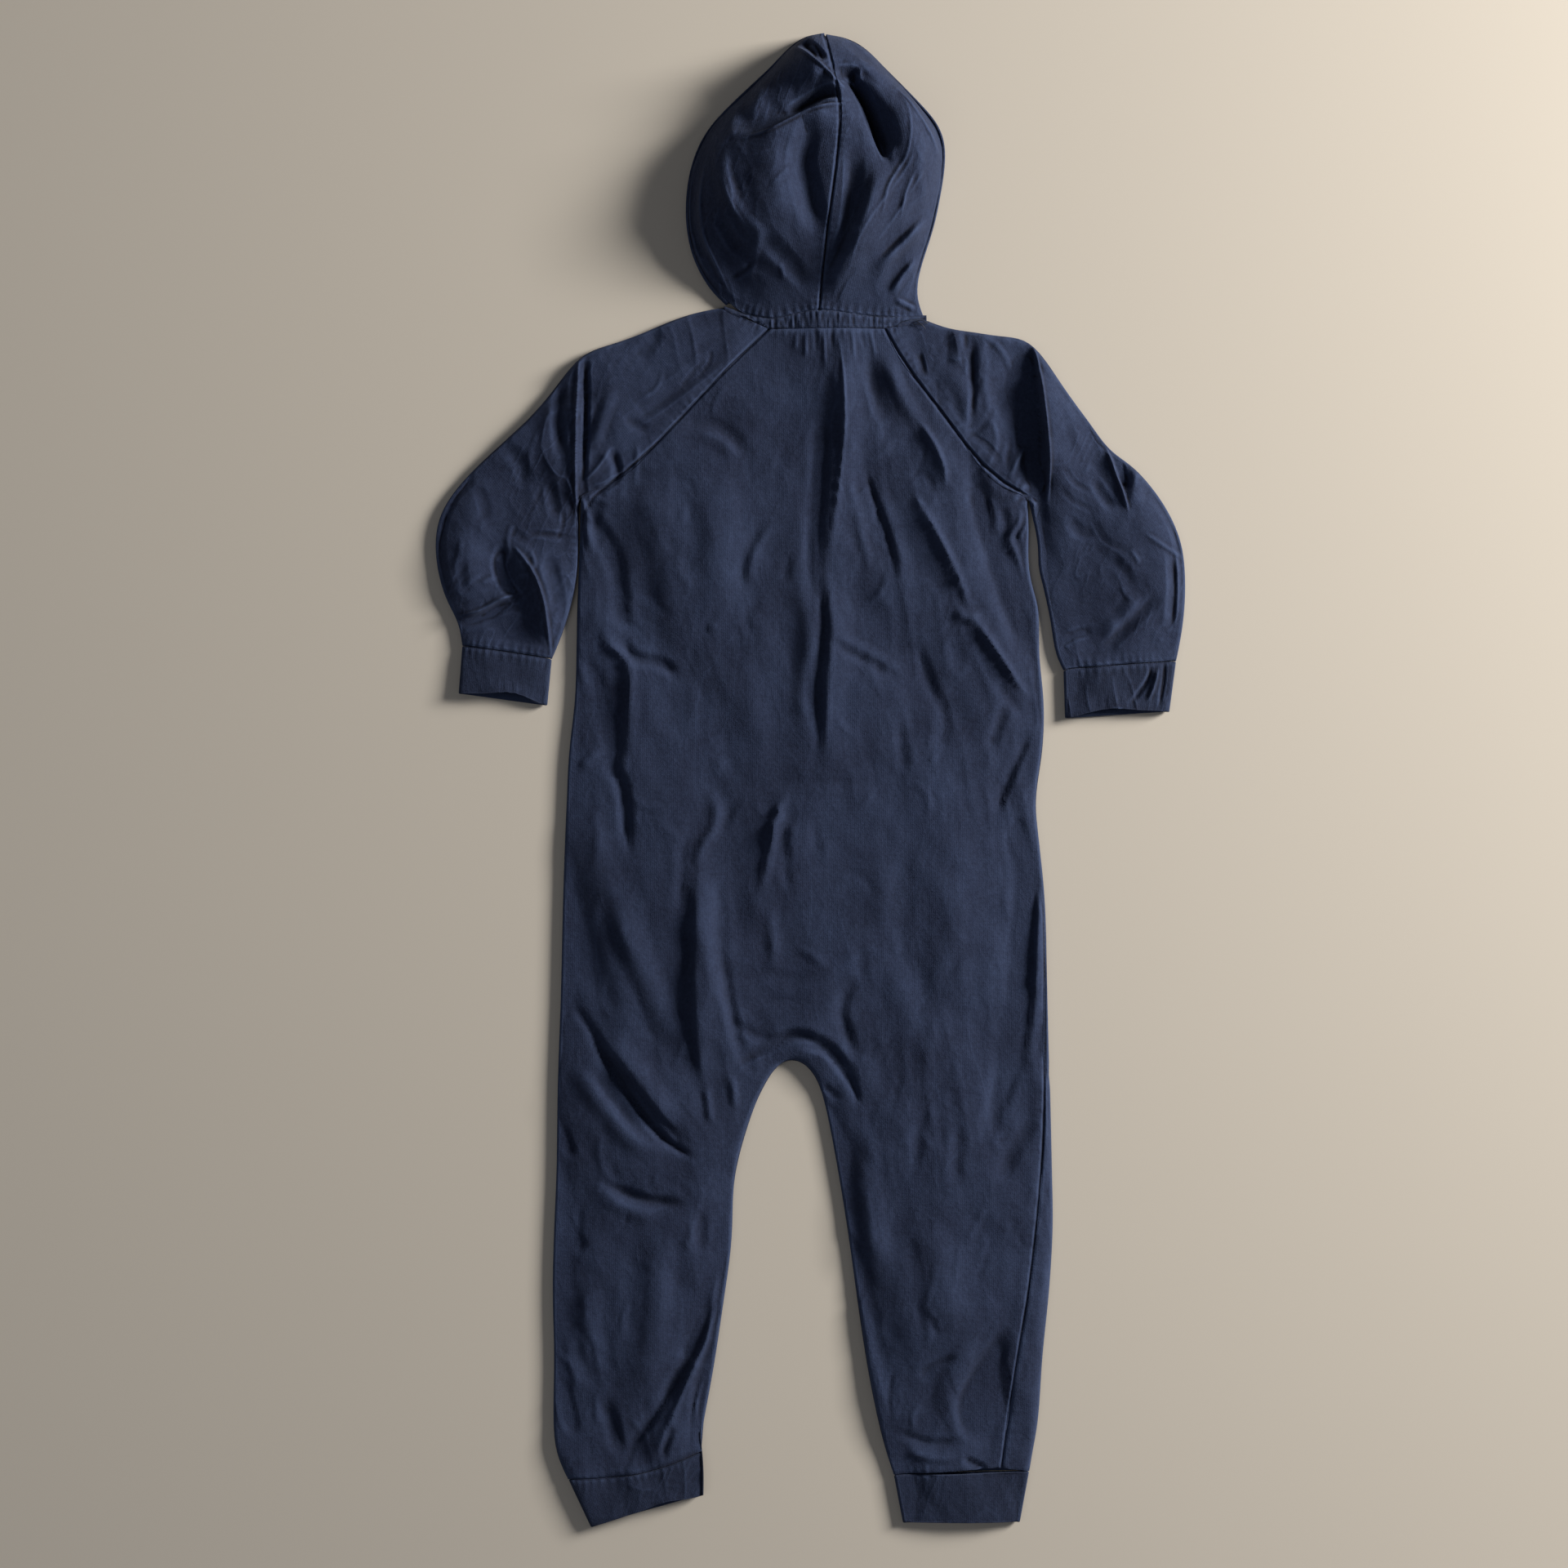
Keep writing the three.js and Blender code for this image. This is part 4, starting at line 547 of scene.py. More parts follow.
# %% Folds of the hood
HOOD_FOLDS = [
    Fold([(-42, 426), (-28, 429), (-16, 435), (-4, 441), (9, 445), (22, 447)], 3.4, 1.8, 16, 1.4),
    Fold([(-15, 441), (-2, 449), (10, 454), (21, 453)], -6.0, 6, 5),
    Fold([(-12, 490), (-5, 483), (2, 476), (10, 469), (18, 461), (24, 457)], 2.4, 2.6, 18, 1.5),
    Fold([(-6, 492), (3, 482), (8, 474)], -3.4, 6, 4),
    Fold([(-1, 490), (4, 482), (6, 474)], 1.0, 2.5, 2.5),
    Fold([(20, 465), (30, 459), (37, 445), (42, 430), (48, 411)], -7.0, 8, 4.5, 1.7),
    Fold([(26, 460), (33, 451), (38, 439), (41, 426), (47, 411), (49, 408)], 2.6, 2.2, 10, 1.4),
    Fold([(16, 467), (24, 468), (33, 467)], -3.0, 6, 6),
    Fold([(49, 407), (43, 388), (35, 366), (27, 350), (17, 332), (10, 320)], 2.3, 16, 9),
    Fold([(27, 424), (27, 396), (24, 368), (17, 344)], -1.7, 10, 6),
    Fold([(2, 436), (-4, 416), (-3, 399), (3, 374), (6, 355)], -2.4, 10, 13),
    Fold([(-24, 424), (-26, 398), (-17, 368)], 1.3, 15, 18),
    Fold([(-70, 414), (-74, 387), (-72, 364), (-63, 344), (-54, 327)], 1.5, 9, 3, 1.6),
    Fold([(-77, 410), (-79, 387), (-77, 364), (-68, 344)], -1.2, 4, 4),
    Fold([(-36, 365), (-17, 346), (1, 327)], -1.3, 9, 7),
    Fold([(-58, 408), (-53, 390), (-44, 372), (-33, 362), (-20, 355)], 0.6, 6, 8),
    Fold([(-48, 352), (-34, 343), (-18, 334)], -0.5, 6, 6),
    Fold([(-54, 336), (-44, 340), (-36, 347)], -0.6, 3, 3),
    Fold([(-38, 462), (-43, 445), (-46, 430)], -0.8, 7, 8),
    Fold([(-32, 467), (-37, 452), (-40, 438)], 0.7, 8, 7),
    Fold([(-56, 430), (-48, 429), (-39, 426)], 0.5, 6, 6),
    Fold([(-60, 420), (-58, 395), (-50, 372)], 1.2, 8, 8),
    Fold([(-62, 376), (-52, 358), (-42, 350)], -1.2, 6, 6),
    Fold([(77, 430), (73, 405), (77, 386)], 0.7, 5, 6),
    Fold([(60, 468), (66, 450), (64, 430), (60, 408)], 1.1, 13, 15),
    Fold([(60, 470), (73, 455), (86, 433), (92, 418)], -2.4, 4, 5),
    Fold([(55, 463), (68, 448), (81, 428), (88, 414)], 1.6, 3, 6, 1.4),
    Fold([(84, 388), (64, 368), (43, 346)], -1.6, 6, 8),
    Fold([(80, 376), (62, 357), (44, 340)], 1.6, 5, 5),
    Fold([(78, 363), (60, 344), (46, 325)], -1.5, 6, 7),
    Fold([(73, 350), (62, 336), (54, 324)], 1.2, 4, 4),
    Fold([(56, 322), (64, 319), (71, 316)], 0.8, 3, 3),
    Fold([(60, 408), (52, 392), (47, 372)], 0.8, 4, 3, 1.5),
    Fold([(70, 405), (63, 388), (60, 372)], 0.8, 3, 4, 1.5),
    Fold([(59, 459), (66, 440), (64, 415), (52, 394), (41, 366)], 0.34, 2.2, 2.6, 1.5),
    Fold([(73, 422), (62, 403), (50, 385), (33, 360), (24, 335)], 0.34, 2.4, 2.8, 1.5),
    Fold([(81, 413), (70, 396), (58, 376), (40, 352)], 0.3, 2.2, 2.4, 1.5),
    Fold([(66, 462), (76, 441), (84, 420), (84, 402)], 0.34, 2.2, 3, 1.5),
    Fold([(-60, 402), (-52, 380), (-40, 362)], 0.3, 2.2, 2.4, 1.5),
    Fold([(24, 494), (34, 484), (44, 478)], -0.9, 4, 6),
    Fold([(30, 480), (44, 470), (54, 462)], 0.9, 5, 7),
]
print(len(HOOD_FOLDS), "folds on the hood")

# %% [markdown]
# Beside the folds that were drawn, small soft crumples cover the cloth, mostly along its length.
# They are drawn from seeded numbers within the places where the photograph shows such crumples.

# %% Small crumples
CRUMPLE_ZONES = [  # left, right, bottom, top in mm, count, main direction in degrees
    (-150, -60, 60, 230, 22, 105),
    (20, 140, 50, 270, 34, 75),
    (-150, 140, -60, 50, 34, 95),
    (-150, 150, -190, -60, 30, 95),
    (-165, -70, -440, -200, 30, 110),
    (30, 150, -450, -210, 34, 80),
    (-240, -165, 100, 240, 16, 60),
    (165, 240, 90, 240, 16, 120),
    (-70, 80, 330, 480, 22, 70),
    (-140, -60, 240, 300, 8, 45),
    (70, 140, 220, 300, 8, 110),
]
CRUMPLE = dict(length=(12, 38), rise=(0.14, 0.4), half=(2.2, 5.0), spread=26, bow=0.35)
FIRST_SEED = 40


def crumples(zone, seed):
    left, right, bottom, top, count, main = zone
    draw = np.random.default_rng(seed)
    made = []
    for _ in range(count):
        middle = np.array([draw.uniform(left, right), draw.uniform(bottom, top)])
        angle = math.radians(main + draw.normal(0, CRUMPLE["spread"]))
        along = np.array([math.cos(angle), math.sin(angle)]) * draw.uniform(*CRUMPLE["length"]) / 2
        bow = np.array([-along[1], along[0]]) * draw.uniform(-CRUMPLE["bow"], CRUMPLE["bow"])
        rise = draw.uniform(*CRUMPLE["rise"]) * draw.choice([-1, 1])
        path = [tuple(middle - along), tuple(middle + bow), tuple(middle + along)]
        made.append(Fold(path, rise, draw.uniform(*CRUMPLE["half"]), draw.uniform(*CRUMPLE["half"])))
    return made


SMALL_FOLDS = [fold for seed, zone in enumerate(CRUMPLE_ZONES, FIRST_SEED) for fold in crumples(zone, seed)]
print(len(SMALL_FOLDS), "small crumples")

# %% [markdown]
# The tables above were drawn one by one, so their heights are only right beside each other. The body's
# folds are broader than those of the sleeves and hood, and catch the light once they stand higher.

# %% All folds together
BODY_GAIN = 1.18
BODY_FOLDS = [fold._replace(rise=fold.rise * BODY_GAIN) for fold in (*TRUNK_FOLDS, *SEAT_FOLDS, *LEG_FOLDS)]
ALL_FOLDS = [*SMALL_FOLDS, *BODY_FOLDS, *NECK_GATHERS, *SLEEVE_FOLDS, *HOOD_FOLDS]
print(len(ALL_FOLDS), "folds in all")

# %% [markdown]
# Between the folds no cloth is quite flat. Smooth noise from a seeded grid adds the slow swells, and
# its ridged form, stretched along the garment, adds the faint lines that washing and wear leave.

# %% Swells and wash lines
SWELLS = [  # size across and along, height in mm, seed
    (38, 60, 2.3, 11),
    (17, 27, 1.0, 12),
    (8, 12, 0.30, 13),
    (4, 5, 0.08, 14),
]
SWELL_LEAN = 0.18  # how far swells and wash lines lean over for each step along the garment
WASH_LINES = dict(across=11, along=34, height=0.9, seed=21)
FINE_LINES = dict(across=5.0, along=12, height=0.32, seed=22)
FINE_LEAN = -0.4
LINE_SHARPNESS = 4
LINE_MEAN = 0.3  # taken off, so that lines neither raise nor lower the cloth as a whole
PATCH = dict(across=5, along=3, seed=50, fade=(-0.3, 0.8))  # sizes as multiples of the lines' own
GRID_EDGE = 900  # mm, beyond every place on the garment


def value_noise(x, y, across, along, seed):
    """Smooth noise from -1 to 1, with the given distances between its random values."""
    columns, rows = int(2 * GRID_EDGE / across) + 3, int(2 * GRID_EDGE / along) + 3
    grid = np.random.default_rng(seed).uniform(-1, 1, (columns, rows))
    u, v = (x + GRID_EDGE) / across, (y + GRID_EDGE) / along
    i, j = u.astype(int), v.astype(int)
    s, t = smooth_step(0, 1, u - i), smooth_step(0, 1, v - j)
    near = grid[i, j] * (1 - s) + grid[i + 1, j] * s
    far = grid[i, j + 1] * (1 - s) + grid[i + 1, j + 1] * s
    return near * (1 - t) + far * t


def ridged(x, y, across, along, height, seed):
    """Thin ridges where the noise passes zero, in patches."""
    lines = 1 - np.abs(value_noise(x, y, across, along, seed))
    wide = value_noise(x, y, across * PATCH["across"], along * PATCH["along"], seed + PATCH["seed"])
    return height * (lines ** LINE_SHARPNESS - LINE_MEAN) * smooth_step(*PATCH["fade"], wide)


def unevenness(x, y):
    lean = x + SWELL_LEAN * y
    height = sum(h * value_noise(lean, y, across, along, seed) for across, along, h, seed in SWELLS)
    return height + ridged(lean, y, **WASH_LINES) + ridged(x + FINE_LEAN * y, y, **FINE_LINES)


# %% [markdown]
# Where two pieces are sewn together, the cloth rolls down into the seam and the thread puckers it.
# The place of each seam needs no table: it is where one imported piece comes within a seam's width
# of another. The points found so are put in order and averaged every few millimetres.

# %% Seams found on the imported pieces
SEAM_GAP = 0.9  # mm, points nearer than this to the next piece lie on its seam
WIDE_GAP = 1.6  # mm, for the seam that stands open the most
SEAM_ABOVE = 3.2  # mm, points lower than this lie under the garment
HOOD_SEAM_ABOVE = 6  # mm
SIDE_SEAM_PLACE = (100, -80, 3)  # mm, the side seam shows to the right of, below and above this
SEAM_BIN = 4.0  # mm
SEAM_SMOOTHING = 3  # rounds
ACROSS, ALONG = 0, 1  # the axis by which a seam's points are put in order


def tree_of(node):
    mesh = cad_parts[node].data
    return BVHTree.FromPolygons([v.co for v in mesh.vertices], [tuple(p.vertices) for p in mesh.polygons])


def on_top(x, y, z):
    return z > SEAM_ABOVE


def on_hood(x, y, z):
    return z > HOOD_SEAM_ABOVE


def on_right_side(x, y, z):
    left, top, low = SIDE_SEAM_PLACE
    return x > left and y < top and z > low


def seam_line(one, other, axis, keep=on_top, gap=SEAM_GAP):
    """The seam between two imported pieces, in the order of one axis."""
    tree = tree_of(other)
    found = []
    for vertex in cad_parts[one].data.vertices:
        x, y, z = vertex.co / MM
        if keep(x, y, z) and tree.find_nearest(vertex.co)[3] < gap * MM:
            found.append((x, y))
    found = np.array(sorted(found, key=lambda p: p[axis]))
    bins = np.round(found[:, axis] / SEAM_BIN)
    line = np.array([found[bins == b].mean(0) for b in np.unique(bins)])
    for _ in range(SEAM_SMOOTHING):
        line[1:-1] = (line[:-2] + 2 * line[1:-1] + line[2:]) / 4
    print("seam", one, "to", other, "is", round(np.hypot(*np.diff(line, axis=0).T).sum()), "mm long")
    return line


raglan_left = seam_line("back", "sleeve_left", ALONG)
raglan_right = seam_line("back", "sleeve_right", ALONG)
hood_seam = seam_line("hood_left", "hood_right", ALONG, on_hood)
neck_lines = [seam_line("neck_tape", node, ACROSS)
              for node in ("hood_left", "hood_right", "back", "sleeve_left", "sleeve_right")]
side_seam = seam_line("back", "front_right", ALONG, on_right_side)
cuff_seams = [
    seam_line("sleeve_cuff_left", "sleeve_left", ACROSS),
    seam_line("sleeve_cuff_right", "sleeve_right", ACROSS),
    seam_line("leg_cuff_left", "back", ACROSS),
    seam_line("leg_cuff_right", "back", ACROSS, gap=WIDE_GAP),
]

# %% [markdown]
# A seam's cross-section: a narrow groove at the stitches, a soft band beside it where the trimmed
# edge lies underneath, and puckers that die out a few millimetres away. The band lies on one side
# only, because both cut edges are pressed the same way.

# %% Seam profile
Seam = namedtuple("Seam", "line depth pucker band band_side")
SEAM_REACH = 14  # mm, farther off than this a seam moves nothing
SEAM_ENDS = (-1, 3)  # mm, where the band begins from nothing
GROOVE = 1.05  # mm, half width of the groove
PUCKER_START = (0.4, 1.6)  # mm, where the puckers rise beside it
PUCKER_REACH = 6.0
PUCKER_STEP = 5.2
PUCKER_DRIFT = (2.2, 9.0)  # how far their step drifts, and over what length in mm
PUCKER_SIZE = (0.6, 0.4, 17.0)  # their mean size, its change, and over what length in mm
BAND_START = (0.3, 1.6)  # mm, where the band of cut edges rises
BAND_FALL = (4.5, 10)  # mm, where it sinks away
SEAMS = [
    Seam(raglan_left, 1.3, 0.20, 0.45, 1),
    Seam(raglan_right, 1.3, 0.20, 0.45, -1),
    Seam(hood_seam, 1.3, 0.12, 0.12, 1),
    Seam(side_seam, 1.1, 0.22, 0.5, 1),
    *[Seam(line, 0.8, 0.30, 0.0, 1) for line in neck_lines],
    *[Seam(line, 1.0, 0.22, 0.5, 1) for line in cuff_seams],
]


def seam_height(x, y, seam):
    low, high = seam.line.min(0) - SEAM_REACH, seam.line.max(0) + SEAM_REACH
    near = (x > low[0]) & (x < high[0]) & (y > low[1]) & (y < high[1])
    height = np.zeros(len(x))
    if not near.any():
        return height
    gap, run, total = along_line(x[near], y[near], seam.line)
    far = np.abs(gap)
    groove = -seam.depth * np.exp(-((far / GROOVE) ** 2))
    drift, drift_length = PUCKER_DRIFT
    size, change, change_length = PUCKER_SIZE
    wave = np.sin(2 * math.pi * run / PUCKER_STEP + drift * np.sin(run / drift_length))
    wave *= size + change * np.sin(run / change_length)
    pucker = seam.pucker * wave * smooth_step(*PUCKER_START, far) * np.exp(-((far / PUCKER_REACH) ** 2))
    on_side = gap * seam.band_side > 0
    band = seam.band * on_side * smooth_step(*BAND_START, far) * (1 - smooth_step(*BAND_FALL, far))
    ends = smooth_step(*SEAM_ENDS, run) * smooth_step(*SEAM_ENDS, total - run)
    height[near] = (groove + pucker) + band * ends
    return height


# %% [markdown]
# The relief moves the upper layer only. A point's layer is read from the middle of its wall: the
# layer that lies on the floor stays flat, and nothing is pushed down into the layer or the zip below.

# %% Laying the relief on a piece
ZIP_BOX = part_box("zip_chain")
ZIP_X = (ZIP_BOX[0].x + ZIP_BOX[1].x) / 2 / MM
ZIP_BOTTOM, ZIP_TOP = ZIP_BOX[0].y / MM, ZIP_BOX[1].y / MM
LAYER = (3.0, 5.4)  # mm, between the lower layer's height and the upper one's
LAYER_OVER_ZIP = (2.6, 2.0)  # mm more of both over the zip
LOWEST_MIDDLE = 3.85  # mm, the upper layer's middle never drops below this
LOWEST_OVER_ZIP = 5.9  # mm more of it over the zip
ZIP_REACH = (7.0, 24.0)  # mm beside the zip over which it fades
ZIP_FOOT = (24, 4)  # mm below the zip's lower end
ZIP_HEAD = (8, 26)  # mm above its upper end
RIDGE_GAIN = 2.3  # mm for each unit of a ridge in the tables above
TROUGH_GAIN = 1.9
LIFT = 1.6  # mm that the upper layer rises away from its edges, to leave room for troughs
LIFT_FROM = (5.0, 7.0)  # mm, heights of its middle between which it does so


def over_zip(x, y):
    beside = 1 - smooth_step(*ZIP_REACH, np.abs(x - ZIP_X))
    below = smooth_step(ZIP_BOTTOM - ZIP_FOOT[0], ZIP_BOTTOM - ZIP_FOOT[1], y)
    above = smooth_step(ZIP_TOP + ZIP_HEAD[0], ZIP_TOP + ZIP_HEAD[1], y)
    return beside * below * (1 - above)


def relief_at(x, y):
    height = unevenness(x, y)
    for fold in ALL_FOLDS:
        height += (RIDGE_GAIN if fold.rise > 0 else TROUGH_GAIN) * fold_height(x, y, fold)
    for seam in SEAMS:
        height += seam_height(x, y, seam)
    return height


def lay_relief(piece, only_where=None):
    mesh = piece.data
    points = points_of(mesh)
    x, y, z = points.T
    middle = z - CLOTH / 2 * normals_of(mesh)[:, 2]
    zip_lift = over_zip(x, y)
    low, high = (height + more * zip_lift for height, more in zip(LAYER, LAYER_OVER_ZIP))
    weight = smooth_step(low, high, middle)
    if only_where is not None:
        weight = weight * only_where(x, y)
    lift = LIFT * smooth_step(*LIFT_FROM, middle)
    height = (relief_at(x, y) + lift) * weight
    least = LOWEST_MIDDLE + LOWEST_OVER_ZIP * zip_lift - middle
    height = np.where(weight > 0, np.maximum(height, np.minimum(least, 0) * weight), 0)
    points[:, 2] += height
    move_points(mesh, points)
    return height


# %% [markdown]
# Washed cloth pales where it rubs, on the crests of folds and along seams. The bend of the surface at
# each point is kept as an attribute. The material uses it to lighten crests, partly as that rub wear and
# partly as a painted highlight, and to darken grooves with painted shade.

# %% Wear, painted highlight and painted shade from the bend of the surface
BEND_SCALE = 2.4  # mm, a bend with about this radius counts in full
RIM_BEND = 0.8  # the cut edges bend more than this, and are left as they are
BEND_ROUNDS = 2  # of averaging with the points beside
SHORTEST = 1e-6  # mm2, keeps a point on top of another from dividing by nothing
BEND_FLAT = 0.5  # the value of flat cloth, between grooves (0) and crests (1)


def mark_wear_and_shade(piece):
    mesh = piece.data
    points, normals = points_of(mesh), normals_of(mesh)
    ends = np.zeros(len(mesh.edges) * 2, int)
    mesh.edges.foreach_get("vertices", ends)
    a, b = ends.reshape(-1, 2).T
    step = points[b] - points[a]
    length = np.maximum((step ** 2).sum(1), SHORTEST)
    bend = np.zeros(len(points))
    count = np.zeros(len(points))
    for here, sign in ((a, 1), (b, -1)):
        np.add.at(bend, here, -sign * (step * normals[here]).sum(1) / length)
        np.add.at(count, here, 1)
    bend = BEND_SCALE * bend / np.maximum(count, 1)
    bend[np.abs(bend) > RIM_BEND] = 0
    for _ in range(BEND_ROUNDS):
        total = bend.copy()
        np.add.at(total, a, bend[b])
        np.add.at(total, b, bend[a])
        bend = total / (1 + count)
    # this attribute carries rub wear and a painted highlight on crests, and painted shade in grooves
    wear_and_shade = mesh.attributes.new("wear_and_shade", "FLOAT", "POINT")
    wear_and_shade.data.foreach_set("value", np.clip(BEND_FLAT + bend, 0, 1).astype(np.float32))


# %% [markdown]
# A finish is built from a few kinds of step that come again and again: a texture laid out by a
# mapping, a value stretched over a range, two values combined, and bumps laid on top of each other.

# %% Texture helpers
MIX_RESULT = 2  # the colour sockets of a Mix node share their names with others, so they go by number
MIX_A = 6


def texture(tree, kind, mapping, settings=None, **sockets):
    node = add_node(tree, kind, settings, **sockets)
    wire(tree, mapping, "Vector", node, "Vector")
    return node


def ranged(tree, source, output, **sockets):
    node = add_node(tree, "ShaderNodeMapRange", **sockets)
    wire(tree, source, output, node, "Value")
    return node


def combined(tree, operation, first, second, clamp=False):
    """Two values, each given as a node and its output, brought together by a sum or a product."""
    node = add_node(tree, "ShaderNodeMath", {"operation": operation, "use_clamp": clamp})
    for k, (source, output) in enumerate((first, second)):
        wire(tree, source, output, node, k)
    return node


def bump_stack(tree, shader, layers):
    """Bumps from the lowest to the topmost, each with its texture, its strength and its depth in mm."""
    below = None
    for source, strength, depth in layers:
        bump = add_node(tree, "ShaderNodeBump", Strength=strength, Distance=depth * MM)
        wire(tree, source, "Fac", bump, "Height")
        if below:
            wire(tree, below, "Normal", bump, "Normal")
        below = bump
    wire(tree, below, "Normal", shader, "Normal")


# %% [markdown]
# The navy is brightest where the cloth has worn pale and on crests, where a highlight is painted as well,
# and darkest in its grooves, where shade is painted. Washing leaves thin pale streaks: they are where a slow
# noise passes its middle value, kept only in some patches.

# %% Wash streaks
NAVY = (0.0118, 0.0168, 0.0395, 1)
# the colour of painted shade, laid in the grooves of folds and seams
NAVY_GROOVE_SHADE = (0.0055, 0.007, 0.0155, 1)
NAVY_FADED = (0.034, 0.050, 0.104, 1)
SHADE = dict(sweat_cloth=1.0, cuff_cloth=0.8, neck_tape=0.9)  # share of the colours for each slot
NOISE_MIDDLE = 0.5


def wash_streaks(tree, turned):
    stretched = texture(tree, "ShaderNodeMapping", turned, Scale=(44.0, 15.0, 30.0))
    lines = texture(tree, "ShaderNodeTexNoise", stretched, Scale=1.0, Detail=1.0, Roughness=0.4)
    where = texture(tree, "ShaderNodeTexNoise", stretched, Scale=0.35, Detail=1.0)
    centred = add_node(tree, "ShaderNodeMath", {"operation": "SUBTRACT"})
    centred.inputs[1].default_value = NOISE_MIDDLE
    wire(tree, lines, "Fac", centred, 0)
    distance = add_node(tree, "ShaderNodeMath", {"operation": "ABSOLUTE"})
    wire(tree, centred, "Value", distance, 0)
    thin = ranged(tree, distance, "Value", From_Min=0.0, From_Max=0.03, To_Min=0.2, To_Max=0.0)
    patchy = ranged(tree, where, "Fac", From_Min=0.46, From_Max=0.62)
    return combined(tree, "MULTIPLY", (thin, "Result"), (patchy, "Result"))


# %% [markdown]
# The colour adds up what fades the cloth (patches, a fine mottle, crests that are partly worn and partly
# given a painted highlight, and wash streaks) and mixes navy with faded navy by it. Then the grooves, read
# from the same bend, are darkened with painted shade.

# %% Knit colour


def shaded(colour, shade):
    return (*(shade * part for part in colour[:3]), 1)


def knit_colour(tree, shader, turned, mottle, shade):
    patches = texture(tree, "ShaderNodeTexNoise", turned, Scale=19.0, Detail=7.0, Roughness=0.68)
    wear_and_shade = add_node(tree, "ShaderNodeAttribute", {"attribute_name": "wear_and_shade"})
    # the crests pale, partly as rub wear and partly as a painted highlight
    crest_wear_and_highlight = ranged(tree, wear_and_shade, "Fac", From_Min=0.50, From_Max=0.86)
    patch_share = ranged(tree, patches, "Fac", From_Min=0.38, From_Max=0.72, To_Max=0.46)
    mottle_share = ranged(tree, mottle, "Fac", From_Min=0.38, From_Max=0.70, To_Max=0.34)
    fade_and_highlight = combined(tree, "ADD", (patch_share, "Result"), (mottle_share, "Result"))
    fade_and_highlight = combined(tree, "ADD", (fade_and_highlight, "Value"), (crest_wear_and_highlight, "Result"), clamp=True)
    fade_and_highlight = combined(tree, "ADD", (fade_and_highlight, "Value"), (wash_streaks(tree, turned), "Value"), clamp=True)
    colour = add_node(tree, "ShaderNodeMix", {"data_type": "RGBA"})
    colour.inputs["A"].default_value = shaded(NAVY, shade)
    colour.inputs["B"].default_value = shaded(NAVY_FADED, shade)
    wire(tree, fade_and_highlight, "Value", colour, "Factor")

    # painted shade: the grooves of folds and seams are darkened
    painted_groove_shade = ranged(tree, wear_and_shade, "Fac", From_Min=0.18, From_Max=0.48, To_Min=1.0, To_Max=0.0)
    with_groove_shade = add_node(tree, "ShaderNodeMix", {"data_type": "RGBA"})
    with_groove_shade.inputs["B"].default_value = NAVY_GROOVE_SHADE
    wire(tree, painted_groove_shade, "Result", with_groove_shade, "Factor")
    wire(tree, colour, MIX_RESULT, with_groove_shade, MIX_A)
    wire(tree, with_groove_shade, MIX_RESULT, shader, "Base Color")


# %% [markdown]
# Sweat knit shows fine columns of stitches on its face, under a soft brushed nap. The columns are a
# wave with a slight wobble, the nap is noise, and sheen gives the pale bloom that fibres have at a
# grazing angle. Each piece was cut along its own direction, so the columns turn with it.

# %% Knit material
KNIT_PITCH = 0.95  # mm, one column of stitches
LOOP_PITCH = 0.76  # mm, one row of them
WAVE_PERIOD = 2 * math.pi / 20  # a wave texture's own period at scale 1
KNIT_FINISH = {
    "Roughness": 0.93,
    "Specular IOR Level": 0.22,
    "Sheen Weight": 0.09,
    "Sheen Roughness": 0.45,
    "Sheen Tint": (0.42, 0.5, 0.78, 1),
}


def knit_layers(tree, turned, mottle):
    """Columns, rows, fuzz, nap and soft crumples, as a stack of bumps."""
    columns = texture(tree, "ShaderNodeTexWave", turned, {"bands_direction": "X"}, Distortion=2.2,
                      Detail=2.0, Detail_Scale=3.0, Scale=WAVE_PERIOD / (KNIT_PITCH * MM))
    loops = texture(tree, "ShaderNodeTexWave", turned, {"bands_direction": "Y"}, Distortion=3.0,
                    Detail=2.0, Detail_Scale=3.0, Scale=WAVE_PERIOD / (LOOP_PITCH * MM))
    fuzz = texture(tree, "ShaderNodeTexNoise", turned, Scale=1300.0, Detail=5.0, Roughness=0.75)
    slack = texture(tree, "ShaderNodeMapping", turned, Scale=(1.0, 0.5, 1.0), Rotation=(0, 0, 0.25))
    crumple = texture(tree, "ShaderNodeTexNoise", slack, {"noise_type": "RIDGED_MULTIFRACTAL"}, Scale=48.0,
                      Detail=3.0, Roughness=0.5, Lacunarity=2.1, Offset=0.9, Gain=1.6)
    return [(columns, 0.30, 0.25), (loops, 0.22, 0.2), (fuzz, 0.55, 0.35), (mottle, 0.5, 1.0),
            (crumple, 0.32, 1.1)]


def knit_material(name, turn, shade):
    material, tree, shader = new_material(name)
    place = add_node(tree, "ShaderNodeTexCoord")
    turned = add_node(tree, "ShaderNodeMapping", Rotation=(0, 0, math.radians(turn)))
    wire(tree, place, "Object", turned, "Vector")
    mottle = texture(tree, "ShaderNodeTexNoise", turned, Scale=420.0, Detail=6.0, Roughness=0.7)
    knit_colour(tree, shader, turned, mottle, shade)
    bump_stack(tree, shader, knit_layers(tree, turned, mottle))
    for socket, value in KNIT_FINISH.items():
        shader.inputs[socket].default_value = value
    return material
